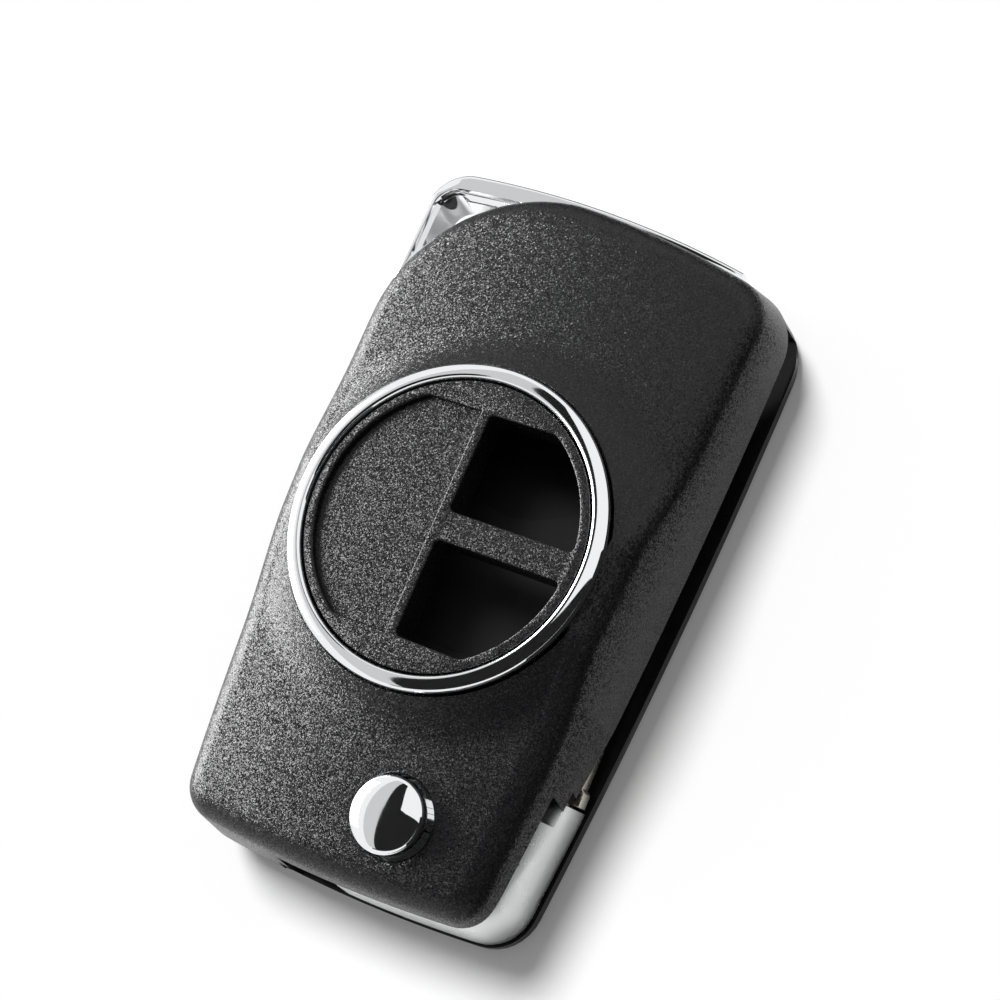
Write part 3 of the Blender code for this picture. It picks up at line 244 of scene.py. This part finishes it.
def clip(loop, point, normal):
    """The part of a loop on the side of a line that its normal points to."""
    kept = []
    for here, after in zip(loop, loop[1:] + loop[:1]):
        side_here = (here[0] - point[0]) * normal[0] + (here[1] - point[1]) * normal[1]
        side_after = (after[0] - point[0]) * normal[0] + (after[1] - point[1]) * normal[1]
        if side_here >= 0:
            kept.append(here)
        if (side_here >= 0) != (side_after >= 0):
            share = side_here / (side_here - side_after)
            kept.append((here[0] + (after[0] - here[0]) * share,
                         here[1] + (after[1] - here[1]) * share))
    return kept


BODY = Outline(BODY_RADII)
FRONT = Outline(FRONT_RADII)


def face_height(x, y):
    """Outer face of the front moulding: a soft crown that swells up to the ring's seat."""
    crown = FACE_MIDDLE_Z - CROWN_DROP[0] * (x / CROWN_REACH[0]) ** 2
    crown -= CROWN_DROP[1] * (y / CROWN_REACH[1]) ** 2
    share = min(max((math.hypot(x, y) - SEAT_R) / BOSS_WIDTH, 0.0), 1.0)
    return crown + (LIP_Z - crown) * (1 - share) ** 2


def new_object(name, data):
    obj = bpy.data.objects.new(name, data)
    bpy.context.scene.collection.objects.link(obj)
    return obj


def object_from(name, bm):
    """An object whose mesh is a finished bmesh, which is freed."""
    mesh = bpy.data.meshes.new(name)
    bm.to_mesh(mesh)
    bm.free()
    return new_object(name, mesh)


def loft(name, rows):
    """A closed solid through loops of equal length, moved from the design frame."""
    bm = bmesh.new()
    loops = [[bm.verts.new((p[0] + ORIGIN_X, p[1] + ORIGIN_Y, p[2])) for p in row]
             for row in rows]
    count = len(rows[0])
    for below, above in zip(loops, loops[1:]):
        for i in range(count):
            j = (i + 1) % count
            bm.faces.new((below[i], below[j], above[j], above[i]))
    bm.faces.new(list(reversed(loops[0])))
    bm.faces.new(loops[-1])
    bmesh.ops.remove_doubles(bm, verts=bm.verts, dist=WELD)
    bmesh.ops.recalc_face_normals(bm, faces=bm.faces)
    return object_from(name, bm)


def plate(name, loop, low_z, high_z):
    return loft(name, [[(x, y, z) for x, y in loop] for z in (low_z, high_z)])


def turned(name, profile, centre=(0.0, 0.0), steps=96):
    """A turned solid. The profile of (radius, height) starts and ends on the axis."""
    turns = np.linspace(0, 2 * math.pi, steps, endpoint=False)
    return loft(name, [[(centre[0] + max(r, TIP_R) * math.cos(t),
                         centre[1] + max(r, TIP_R) * math.sin(t), z) for t in turns]
                       for r, z in profile])


def combine(target, operation, *tools):
    for tool in tools:
        boolean = target.modifiers.new(tool.name, 'BOOLEAN')
        boolean.operation = operation
        boolean.solver = 'MANIFOLD'
        boolean.object = tool
    bake(target)
    for tool in tools:
        bpy.data.objects.remove(tool, do_unlink=True)


def cut(target, *tools):
    combine(target, 'DIFFERENCE', *tools)


def bake(obj):
    """Replaces an object's mesh with the result of its modifiers."""
    graph = bpy.context.evaluated_depsgraph_get()
    mesh = bpy.data.meshes.new_from_object(obj.evaluated_get(graph))
    obj.modifiers.clear()
    obj.data = mesh


def smooth(obj, angle=32):
    obj.data.shade_smooth()
    obj.data.set_sharp_from_angle(angle=math.radians(angle))


def dress(obj, finish, body, slot, *nodes):
    """Gives a piece its finish and the body it moves with, and hides the nodes it stands for."""
    obj.data.materials.clear()
    obj.data.materials.append(finish)
    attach(obj, body)
    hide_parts(*nodes)


# Materials.

def shader_for(name, colour, roughness, metallic=0.0):
    made = bpy.data.materials.new(name)
    made.use_nodes = True
    tree = made.node_tree
    shader = tree.nodes["Principled BSDF"]
    shader.inputs["Base Color"].default_value = (*colour, 1.0)
    shader.inputs["Roughness"].default_value = roughness
    shader.inputs["Metallic"].default_value = metallic
    return made, tree, shader


def place_nodes(tree):
    """Object coordinates, turned so that no layer of a texture lies along a face."""
    turn = tree.nodes.new("ShaderNodeMapping")
    turn.inputs["Rotation"].default_value = (0.6, 0.8, 0.3)
    tree.links.new(tree.nodes.new("ShaderNodeTexCoord").outputs["Object"], turn.inputs["Vector"])
    return turn.outputs["Vector"]


def noise(tree, place, scale, detail=2.0):
    node = tree.nodes.new("ShaderNodeTexNoise")
    node.inputs["Scale"].default_value = scale
    node.inputs["Detail"].default_value = detail
    tree.links.new(place, node.inputs["Vector"])
    return node.outputs["Fac"]


def spread(tree, source, low, high, from_low=0.3, from_high=0.7):
    node = tree.nodes.new("ShaderNodeMapRange")
    node.inputs["From Min"].default_value = from_low
    node.inputs["From Max"].default_value = from_high
    node.inputs["To Min"].default_value = low
    node.inputs["To Max"].default_value = high
    tree.links.new(source, node.inputs["Value"])
    return node.outputs["Result"]


def bump(tree, height, strength, distance):
    node = tree.nodes.new("ShaderNodeBump")
    node.inputs["Strength"].default_value = strength
    node.inputs["Distance"].default_value = distance
    tree.links.new(height, node.inputs["Height"])
    return node.outputs["Normal"]


def vector_node(tree, operation, first, second=None):
    node = tree.nodes.new("ShaderNodeVectorMath")
    node.operation = operation
    tree.links.new(first, node.inputs[0])
    if isinstance(second, tuple):
        node.inputs[1].default_value = second
    elif second is not None:
        tree.links.new(second, node.inputs[1])
    return node.outputs["Vector"]


def sparkle_plastic():
    """Black plastic whose eroded grain is made of small facets that face all ways."""
    made, tree, shader = shader_for("sparkle_plastic", SPARKLE_BLACK, 0.24)
    shader.inputs["Specular IOR Level"].default_value = 0.26
    place = place_nodes(tree)
    grain = bump(tree, noise(tree, place, 3000.0), 0.3, 0.00004)
    flakes = tree.nodes.new("ShaderNodeTexVoronoi")
    flakes.inputs["Scale"].default_value = FLAKE_SCALE
    tree.links.new(place, flakes.inputs["Vector"])
    split = tree.nodes.new("ShaderNodeSeparateColor")
    tree.links.new(flakes.outputs["Color"], split.inputs["Color"])
    mask = spread(tree, split.outputs["Blue"], 0.0, 1.0, FLAKE_START, 1.0)
    lean = vector_node(tree, 'SUBTRACT', flakes.outputs["Color"], (0.5, 0.5, 0.5))
    lean = vector_node(tree, 'MULTIPLY', lean, (FLAKE_LEAN, FLAKE_LEAN, FLAKE_LEAN))
    facing = vector_node(tree, 'NORMALIZE', vector_node(tree, 'ADD', grain, lean))
    tree.links.new(facing, shader.inputs["Normal"])
    tree.links.new(mask, shader.inputs["Metallic"])
    tree.links.new(spread(tree, split.outputs["Green"], 0.24, 0.38, 0.0, 1.0),
                   shader.inputs["Roughness"])
    blend = tree.nodes.new("ShaderNodeMix")
    blend.data_type = 'RGBA'
    blend.inputs["A"].default_value = (*SPARKLE_BLACK, 1.0)
    blend.inputs["B"].default_value = (*FLAKE_COLOUR, 1.0)
    tree.links.new(mask, blend.inputs["Factor"])
    tree.links.new(blend.outputs["Result"], shader.inputs["Base Color"])
    return made


def plain_plastic():
    made, tree, shader = shader_for("plain_plastic", (0.008, 0.008, 0.009), 0.32)
    shader.inputs["Specular IOR Level"].default_value = 0.2
    place = place_nodes(tree)
    tree.links.new(spread(tree, noise(tree, place, 900.0), 0.27, 0.38),
                   shader.inputs["Roughness"])
    tree.links.new(bump(tree, noise(tree, place, 5000.0), 0.15, 0.00003),
                   shader.inputs["Normal"])
    return made


def tray_plastic():
    made, tree, shader = shader_for("tray_plastic", (0.014, 0.014, 0.014), 0.6)
    tree.links.new(bump(tree, noise(tree, place_nodes(tree), 4000.0), 0.3, 0.00004),
                   shader.inputs["Normal"])
    return made


def metal(name, colour, low_roughness, high_roughness, ripple, scale=350.0):
    """A plated or drawn metal: uneven polish and a very slight waviness."""
    made, tree, shader = shader_for(name, colour, low_roughness, 1.0)
    place = place_nodes(tree)
    tree.links.new(spread(tree, noise(tree, place, scale, 4.0), low_roughness, high_roughness),
                   shader.inputs["Roughness"])
    tree.links.new(bump(tree, noise(tree, place, scale / 2), ripple, 0.00005),
                   shader.inputs["Normal"])
    return made


SPARKLE = sparkle_plastic()
PLAIN = plain_plastic()
TRAY = tray_plastic()
CHROME = metal("bright_chrome", (0.86, 0.87, 0.88), 0.03, 0.06, 0.02)
SATIN_CHROME = metal("satin_chrome", (0.66, 0.67, 0.67), 0.26, 0.32, 0.02, 700.0)
BLADE_METAL = metal("blade_metal", (0.66, 0.60, 0.52), 0.24, 0.32, 0.03, 1200.0)
STEEL = metal("steel", (0.42, 0.43, 0.45), 0.24, 0.36, 0.05, 1500.0)
SCREW_METAL = metal("screw_metal", (0.07, 0.07, 0.08), 0.30, 0.45, 0.05, 1500.0)


# Front shell.

def front_angles(step=math.radians(2)):
    fine = []
    for index in range(4):
        centre, radius = FRONT.corner_circle(index, 0.0)
        start = math.atan2(*(centre - FRONT.sides[index - 1][0])[::-1])
        end = math.atan2(*(centre - FRONT.sides[index][0])[::-1])
        fine += [math.atan2(y, x) % (2 * math.pi) for x, y in arc(centre, radius, start, end, 16)]
    even = [a for a in np.arange(0, 2 * math.pi, step)
            if min(abs((a - f + math.pi) % (2 * math.pi) - math.pi) for f in fine) > step / 3]
    return np.array(sorted(even + fine))


def polar_row(distances, angles, heights):
    return [(d * math.cos(a), d * math.sin(a), z) for d, a, z in zip(distances, angles, heights)]


def each_reach(insets, angles):
    low, high = float(np.min(insets)), float(np.max(insets))
    near = FRONT.reach(low, angles)
    if high - low < WELD:
        return near
    far = FRONT.reach(high, angles)
    return near + (far - near) * (insets - low) / (high - low)


def heights_at(distances, angles):
    return np.array([face_height(d * math.cos(a), d * math.sin(a))
                     for d, a in zip(distances, angles)])


def edge_row(angles, turn, wall=0.0):
    """One loop of the edge rounding, where the surface's normal has risen by turn."""
    heights = np.full(len(angles), FACE_MIDDLE_Z)
    for _ in range(4):
        base = heights - wall - EDGE_FILLET * (math.sin(FILLET_END) - math.sin(WALL_DRAFT))
        lean = (base - RIM_Z) * math.tan(WALL_DRAFT)
        ends = lean + EDGE_FILLET * (math.cos(WALL_DRAFT) - math.cos(FILLET_END))
        heights = heights_at(each_reach(FRONT_INSET + wall + ends, angles), angles)
    inset = lean + EDGE_FILLET * (math.cos(WALL_DRAFT) - math.cos(turn))
    reach = each_reach(FRONT_INSET + wall + inset, angles)
    return reach, base + EDGE_FILLET * (math.sin(turn) - math.sin(WALL_DRAFT))


def round_over(radius, steps=4):
    """(inwards, downwards) of a quarter-round edge, from its top flat to its wall."""
    turns = np.linspace(0, math.pi / 2, steps + 1)
    return [(radius * (1 - math.sin(t)), radius * (1 - math.cos(t))) for t in turns]


def front_rows():
    angles = front_angles()
    full = np.ones(len(angles))
    rows = []
    for inwards, up in round_over(RIM_EDGE, 3):
        reach = FRONT.reach(FRONT_INSET + inwards, angles)
        rows.append(polar_row(reach, angles, full * (RIM_Z + up)))
    for turn in np.linspace(WALL_DRAFT, FILLET_END, 13):
        reach, heights = edge_row(angles, turn)
        rows.append(polar_row(reach, angles, heights))
    lip_start = SEAT_R + SEAT_EDGE
    for share in np.linspace(1, 0, 25)[1:] ** 1.5:
        distance = lip_start + (reach - lip_start) * share
        rows.append(polar_row(distance, angles, heights_at(distance, angles)))
    lip_top = heights_at(full * lip_start, angles)
    for inwards, down in round_over(SEAT_EDGE)[1:]:
        rows.append(polar_row(full * (SEAT_R + inwards), angles, lip_top - down))
    rows.append(polar_row(full * SEAT_R, angles, full * SEAT_FLOOR_Z))
    rows.append(polar_row(full * DISC_R, angles, full * SEAT_FLOOR_Z))
    for inwards, down in reversed(round_over(DISC_EDGE)):
        rows.append(polar_row(full * (DISC_R - inwards), angles, full * (BODY_TOP - down)))
    return rows


def cavity_rows():
    angles = front_angles()[::2]
    full = np.ones(len(angles))
    reach = FRONT.reach(FRONT_INSET + WALL, angles)
    rows = [polar_row(reach, angles, full * (RIM_Z - PAST))]
    for turn in np.linspace(WALL_DRAFT, FILLET_END, 6):
        reach, heights = edge_row(angles, turn, WALL)
        rows.append(polar_row(reach, angles, np.minimum(heights, CEILING_Z)))
    for share in (0.7, 0.4, 0.15):
        distance = SEAT_R + (reach - SEAT_R) * share
        heights = np.minimum(heights_at(distance, angles) - WALL, CEILING_Z)
        rows.append(polar_row(distance, angles, heights))
    return rows


def emblem_loop(grow):
    radius = EMBLEM_R + grow
    half = EMBLEM_HALF_HEIGHT + grow
    turn = math.asin(half / radius)
    left = arc((0, 0), radius, math.pi - turn, math.pi + turn, 64)
    edge = EMBLEM_EDGE_X + grow
    return left + [(edge, -half), (edge, half)]


def window_loop(side, grow):
    """A window between a straight inner edge and the disc's rim, one shoulder rounder."""
    small, large = WINDOW_CORNER_R, WINDOW_SHOULDER_R
    left = WINDOW_LEFT_X + small
    low = WINDOW_INNER_Y[side > 0] + small
    high = WINDOW_OUTER_Y - large
    low_turn = math.asin(low / (WINDOW_R - small))
    high_turn = math.asin(high / (WINDOW_R - large))
    low_x = (WINDOW_R - small) * math.cos(low_turn)
    high_x = (WINDOW_R - large) * math.cos(high_turn)
    quarter = math.pi / 2
    loop = arc((left, low), small + grow, 2 * quarter, 3 * quarter, 8)
    loop += arc((low_x, low), small + grow, -quarter, low_turn, 8)
    loop += arc((0, 0), WINDOW_R + grow, low_turn, high_turn, 24)[1:-1]
    loop += arc((high_x, high), large + grow, high_turn, quarter, 8)
    loop += arc((left, WINDOW_OUTER_Y - small), small + grow, quarter, 2 * quarter, 8)
    if side < 0:
        loop = [(x, -y) for x, y in reversed(loop)]
    return loop


def flared(name, loop_at, low_z, top_z, edge):
    """A cutter whose mouth opens in a quarter round, so that the cut's edge is rounded."""
    rows = [[(x, y, low_z) for x, y in loop_at(0.0)]]
    for inwards, down in reversed(round_over(edge)):
        rows.append([(x, y, top_z - down) for x, y in loop_at(inwards)])
    rows.append([(x, y, top_z + PAST) for x, y in loop_at(edge)])
    return loft(name, rows)


def button_hole():
    """The stepped hole for the button, its mouth rounded along the crowned face."""
    turns = np.linspace(0, 2 * math.pi, 96, endpoint=False)

    def row(radius, height=None, drop=0.0):
        places = [(PIVOT[0] + radius * math.cos(t), PIVOT[1] + radius * math.sin(t))
                  for t in turns]
        return [(x, y, face_height(x, y) - drop if height is None else height)
                for x, y in places]

    rows = [row(FLANGE_SPACE_R, HUB_TOP_Z), row(FLANGE_SPACE_R, FLANGE_SPACE_Z),
            row(HOLE_R, FLANGE_SPACE_Z)]
    for inwards, down in reversed(round_over(HOLE_EDGE)):
        rows.append(row(HOLE_R + inwards, drop=down))
    rows.append(row(HOLE_R + HOLE_EDGE, drop=-PAST))
    return loft("button_hole", rows)


def corner_run(inset, low_y, high_x):
    loop = clip(BODY.points(inset), (0.0, low_y), (0.0, 1.0))
    loop = clip(loop, (high_x, 0.0), (-1.0, 0.0))
    start = max(range(len(loop)), key=lambda i: loop[i][0] * 10 + loop[i][1])
    return (loop[start:] + loop[:start])[:-1]


def screw_bosses():
    return [turned(f"boss_{i}", [(0, BOSS_LOW_Z), (BOSS_R, BOSS_LOW_Z),
                                 (BOSS_R, face_height(*place) - WALL / 2),
                                 (0, face_height(*place) - WALL / 2)], place, 48)
            for i, place in enumerate(SCREW_PLACES)]


def pilot_holes():
    return [turned(f"pilot_{i}", [(0, 0.0), (PILOT_R, 0.0), (PILOT_R, PILOT_TOP_Z),
                                  (0, PILOT_TOP_Z)], place, 32)
            for i, place in enumerate(SCREW_PLACES)]


def front_shell():
    shell = loft("front_shell_moulding", front_rows())
    band = corner_run(-PAST, BAND_END_Y, BAND_END_X)
    band += list(reversed(corner_run(BAND_INNER_INSET, BAND_END_Y, BAND_END_X)))
    normal = np.array((WEB_DIAGONAL[0] - CORNERS[3][1], WEB_DIAGONAL[1] - CORNERS[3][0]))
    normal = normal / np.linalg.norm(normal)
    point = np.array((CORNERS[3][0], WEB_DIAGONAL[0])) - normal * GAP
    web = clip(BODY.points(WEB_INSET), point, normal)
    cut(shell, loft("cavity", cavity_rows()))
    combine(shell, 'UNION', *screw_bosses())
    cut(shell, *pilot_holes())
    step = HUB_STEP_Z + GAP
    sweep_top = HUB_TOP_Z + GAP
    run = (RELIEF_END_Y - RELIEF_START_Y) * PAST / RELIEF_RISE
    wedge = [(RELIEF_START_Y, RIM_Z - PAST), (RELIEF_END_Y + run, RIM_Z - PAST),
             (RELIEF_START_Y, RIM_Z + RELIEF_RISE)]
    cut(shell,
        turned("hub_sweep", [(0, -PAST), (SWEEP_R, -PAST), (SWEEP_R, step), (SWEEP_UPPER_R, step),
                             (SWEEP_UPPER_R, sweep_top), (0, sweep_top)], PIVOT, 160),
        loft("rim_relief", [[(x, y, z) for y, z in wedge] for x in RELIEF_X]),
        plate("band_space", band, 0.0, BAND_TOP_Z),
        plate("web_space", web, PAST, WEB_TOP_Z),
        button_hole(),
        flared("emblem_recess", emblem_loop, BODY_TOP - EMBLEM_DEPTH, BODY_TOP, EMBLEM_EDGE),
        flared("window_upper", lambda grow: window_loop(1, grow), RIM_Z, BODY_TOP, WINDOW_EDGE),
        flared("window_lower", lambda grow: window_loop(-1, grow), RIM_Z, BODY_TOP, WINDOW_EDGE))
    smooth(shell)
    dress(shell, SPARKLE, "housing", "black_sparkle_plastic", "front_shell")


# Other pieces.

def bezel_ring():
    """The crest lies near the inner edge, and the ring falls in a long curve to the outer."""
    width = RING_OUTER_R - RING_INNER_R
    crest = RING_INNER_R + width * RING_CREST
    rise = RING_CROWN_Z - RING_SIDE_Z
    profile = [(RING_INNER_R, RING_LOW_Z)]
    for turn in np.linspace(0, math.pi / 2, 10):
        profile.append((crest - width * RING_CREST * math.cos(turn),
                        RING_SIDE_Z + rise * math.sin(turn)))
    for turn in np.linspace(0, math.pi / 2, 20)[1:]:
        profile.append((crest + width * (1 - RING_CREST) * math.sin(turn),
                        RING_SIDE_Z + rise * math.cos(turn) ** 0.8))
    profile.append((RING_OUTER_R, RING_LOW_Z))
    steps = 256
    bm = bmesh.new()
    columns = []
    for turn in np.linspace(0, 2 * math.pi, steps, endpoint=False):
        columns.append([bm.verts.new((ORIGIN_X + r * math.cos(turn),
                                      ORIGIN_Y + r * math.sin(turn), z)) for r, z in profile])
    for here, after in zip(columns, columns[1:] + columns[:1]):
        for i in range(len(profile)):
            j = (i + 1) % len(profile)
            bm.faces.new((here[i], after[i], after[j], here[j]))
    bmesh.ops.recalc_face_normals(bm, faces=bm.faces)
    ring = object_from("bezel_ring_chrome", bm)
    smooth(ring, 50)
    dress(ring, CHROME, "housing", "chrome_plating", "bezel_ring")


def release_button():
    """The button above its flange is turned anew, and the rest is the solid's own shape."""
    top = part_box("release_button")[1].z
    rim = top - BUTTON_DOME_RISE
    button = refined("release_button", "release_button_body")
    profile = [(0.0, rim - CAP_DEPTH), (BUTTON_R, rim - CAP_DEPTH)]
    for step in range(25):
        share = math.sin(math.pi / 2 * (1 - step / 24))
        rise = (1 - share ** BUTTON_DOME_POWER) ** (1 / BUTTON_DOME_POWER)
        profile.append((BUTTON_R * share, rim + BUTTON_DOME_RISE * rise))
    cap = turned("release_button_cap", profile, PIVOT, 128)
    cut_r = BUTTON_R + GAP / 2
    cut(button, turned("cap_space", [(0.0, rim - CAP_DEPTH), (cut_r, rim - CAP_DEPTH),
                                     (cut_r, top + PAST), (0.0, top + PAST)], PIVOT, 96))
    # The cap sinks a little, so that its flat underside doesn't lie in the cut's plane.
    cap.location.z = -CAP_DROP
    bpy.context.view_layer.update()
    combine(button, 'UNION', cap)
    smooth(button, 40)
    dress(button, CHROME, "button", "chrome_plating", "release_button")


def refined(node, name, bevel=0.0, segments=3, angle=30):
    """A copy of a solid with whole faces and, where asked, rounded edges."""
    bm = bmesh.new()
    bm.from_mesh(frame["nodes"][node].data)
    bmesh.ops.remove_doubles(bm, verts=bm.verts, dist=WELD / 2)
    bmesh.ops.dissolve_limit(bm, angle_limit=math.radians(0.4), verts=bm.verts, edges=bm.edges)
    bmesh.ops.recalc_face_normals(bm, faces=bm.faces)
    piece = object_from(name, bm)
    if bevel:
        rounding = piece.modifiers.new("edges", 'BEVEL')
        rounding.width = bevel
        rounding.segments = segments
        rounding.limit_method = 'ANGLE'
        rounding.angle_limit = math.radians(angle)
        rounding.use_clamp_overlap = True
        bake(piece)
    smooth(piece)
    return piece


def keyring_frame():
    """The corner insert, its outer rim well rounded and its inner edges finely."""
    frame_piece = refined("keyring_frame", "keyring_frame_chrome")
    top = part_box("keyring_frame")[1].z

    def rim(edge):
        for vert in edge.verts:
            x, y = vert.co.x - ORIGIN_X, vert.co.y - ORIGIN_Y
            outer = BODY.reach(FRAME_INSET, np.array([math.atan2(y, x)]))[0]
            if abs(vert.co.z - top) > WELD or abs(outer - math.hypot(x, y)) > RIM_SEARCH:
                return False
        return True

    bm = bmesh.new()
    bm.from_mesh(frame_piece.data)
    bmesh.ops.bevel(bm, geom=[edge for edge in bm.edges if rim(edge)], affect='EDGES',
                    offset=RIM_ROUND, segments=6, profile=0.5, clamp_overlap=False)
    inner = [edge for edge in bm.edges
             if all(abs(vert.co.z - top) < WELD for vert in edge.verts)
             and len(edge.link_faces) == 2 and edge.calc_face_angle(0.0) > 0.8]
    bmesh.ops.bevel(bm, geom=inner, affect='EDGES', offset=FINE_EDGE, segments=3, profile=0.5,
                    clamp_overlap=True)
    bm.to_mesh(frame_piece.data)
    bm.free()
    smooth(frame_piece)
    dress(frame_piece, CHROME, "housing", "chrome_plating", "keyring_frame")


def other_pieces():
    keyring_frame()
    dress(refined("blade_hub", "blade_hub_chrome", FINE_EDGE), SATIN_CHROME, "flip_key",
          "chrome_plating", "blade_hub")
    dress(refined("back_shell", "back_shell_moulding"), PLAIN, "housing",
          "black_plain_plastic", "back_shell")
    dress(refined("key_blade", "key_blade_blank", BLADE_EDGE), BLADE_METAL, "flip_key",
          "nickel_silver", "key_blade")
    dress(refined("board_tray", "board_tray_moulding", FINE_EDGE, 2), TRAY, "housing",
          "black_plain_plastic", "board_tray")
    dress(refined("blade_pin", "blade_pin_steel"), STEEL, "flip_key",
          "spring_steel", "blade_pin")
    dress(refined("spring_washer", "spring_washer_steel"), STEEL, "housing",
          "spring_steel", "spring_washer")
    for number in (1, 2, 3):
        node = f"housing_screw_{number}"
        dress(refined(node, f"{node}_steel"), SCREW_METAL, "housing", "blackened_steel", node)


def flip_spring():
    """The real coil shortens towards its lower end as the button is pressed; here it is smooth
    shaded and given a mesh of its own.
    """
    spring = refined("flip_spring", "flip_spring_coil")
    spring.data.shade_smooth()
    dress(spring, STEEL, "housing", "spring_steel", "flip_spring")
    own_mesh(spring)


# Stage, lights and camera.

def seen_strength(tree, strength_seen, strength_lit):
    """A glow's strength for rays that see it, from camera or reflection, and for its light."""
    path = tree.nodes.new("ShaderNodeLightPath")
    seen = path.outputs["Is Camera Ray"]
    for ray in ("Is Glossy Ray", "Is Transmission Ray"):
        either = tree.nodes.new("ShaderNodeMath")
        either.operation = 'MAXIMUM'
        tree.links.new(seen, either.inputs[0])
        tree.links.new(path.outputs[ray], either.inputs[1])
        seen = either.outputs["Value"]
    return spread(tree, seen, strength_lit, strength_seen, 0.0, 1.0)


def paper(name, shade, roughness):
    """A dull grey material that can glow white."""
    made, tree, shader = shader_for(name, (shade, shade, shade), roughness)
    shader.inputs["Specular IOR Level"].default_value = 0.0
    shader.inputs["Emission Color"].default_value = WHITE
    return made, tree, shader.inputs["Emission Strength"]


def set_world():
    world = bpy.data.worlds.new("studio")
    bpy.context.scene.world = world
    world.use_nodes = True
    tree = world.node_tree
    background = tree.nodes["Background"]
    background.inputs["Color"].default_value = WHITE
    tree.links.new(seen_strength(tree, WORLD_SEEN, WORLD_LIT), background.inputs["Strength"])


def make_floor():
    bm = bmesh.new()
    bmesh.ops.create_grid(bm, x_segments=1, y_segments=1, size=FLOOR_SIZE)
    floor = object_from("floor", bm)
    floor.location.z = -FLOOR_DROP
    made, tree, strength = paper("floor_paper", FLOOR_SHADE, 0.9)
    tree.links.new(seen_strength(tree, FLOOR_GLOW, 0.0), strength)
    floor.data.materials.append(made)


def level(height, *corners):
    """Corners given in plan, all at one height."""
    return [(x, y, height) for x, y in corners]


def card(name, corners, glow=0.0):
    """A flat studio card that only reflections see, dark or with an even white glow; the dark
    ones lying on the floor are painted shade.
    """
    bm = bmesh.new()
    bm.faces.new([bm.verts.new(corner) for corner in corners])
    obj = object_from(name, bm)
    made, _, strength = paper(name, CARD_SHADE, 1.0)
    strength.default_value = glow
    obj.data.materials.append(made)
    obj.visible_camera = False
    obj.visible_diffuse = False
    obj.visible_shadow = False


def soft_box(azimuth, elevation, distance, size, radiance):
    """A large soft lamp at a distance, turned to the part, that only reflections see."""
    data = bpy.data.lights.new("soft_box", 'AREA')
    data.shape = 'RECTANGLE'
    data.size, data.size_y = size
    data.energy = radiance * math.pi * size[0] * size[1]
    obj = new_object("soft_box", data)
    around, up = math.radians(azimuth), math.radians(elevation)
    obj.location = (distance * math.cos(up) * math.cos(around),
                    distance * math.cos(up) * math.sin(around), distance * math.sin(up))
    obj.rotation_euler = (math.pi / 2 - up, 0.0, around + math.pi / 2)
    obj.visible_diffuse = False


def high_lamp(azimuth, elevation, angle, strength):
    """A broad soft lamp far away, left out of reflections."""
    data = bpy.data.lights.new("high_lamp", 'SUN')
    data.energy = strength
    data.angle = math.radians(angle)
    obj = new_object("high_lamp", data)
    obj.rotation_euler = (0.0, math.radians(90 - elevation), math.radians(azimuth))
    obj.visible_glossy = False


def set_camera():
    data = bpy.data.cameras.new("camera")
    data.lens = CAMERA_LENS
    data.sensor_width = SENSOR_WIDTH
    data.clip_start = 0.01
    data.dof.use_dof = False
    camera = new_object("camera", data)
    camera.location = (ORIGIN_X + CAMERA_PLACE[0], ORIGIN_Y + CAMERA_PLACE[1], CAMERA_PLACE[2])
    camera.rotation_euler = [math.radians(turn) for turn in CAMERA_TURN]
    bpy.context.scene.camera = camera


front_shell()
bezel_ring()
release_button()
other_pieces()
flip_spring()

set_world()
make_floor()
card("bar_overhead",
     level(0.45, (-0.20, -0.02), (-0.085, -0.02), (-0.085, 0.60), (-0.20, 0.60)))
card("wedge_overhead",
     level(0.449, (-0.20, -0.02), (-0.30, -0.75), (0.60, -0.75), (0.75, -0.10), (0.80, 0.12),
           (-0.02, 0.02), (-0.085, 0.02)))
card("side_right",
     ((0.80, -0.75, 0.0), (0.80, 0.32, 0.0), (0.80, 0.32, 0.47), (0.80, -0.75, 0.47)))
# Painted shade: a dark sheet on the floor right of the part that only reflections see, standing
# in for the floor's shadow as the right side reflects it.
card("painted_floor_shade_right",
     level(0.0004, (0.028, -0.50), (0.80, -0.60), (0.80, 0.32), (0.028, 0.32)))
# Painted shade: a dark sheet on the floor behind the part that only reflections see, standing in
# for the floor's shadow there as the part reflects it.
card("painted_floor_shade_back",
     level(0.0003, (-0.30, 0.045), (0.80, 0.045), (0.80, 0.90), (-0.30, 0.90)))
card("grey_left",
     level(0.448, (-0.34, -0.60), (-0.20, -0.60), (-0.20, 0.60), (-0.34, 0.60)), glow=0.65)
soft_box(azimuth=180, elevation=18, distance=1.1, size=(1.0, 0.90), radiance=22.0)
high_lamp(azimuth=134, elevation=62, angle=20, strength=2.95)
set_camera()
bpy.context.scene.view_settings.view_transform = 'Standard'
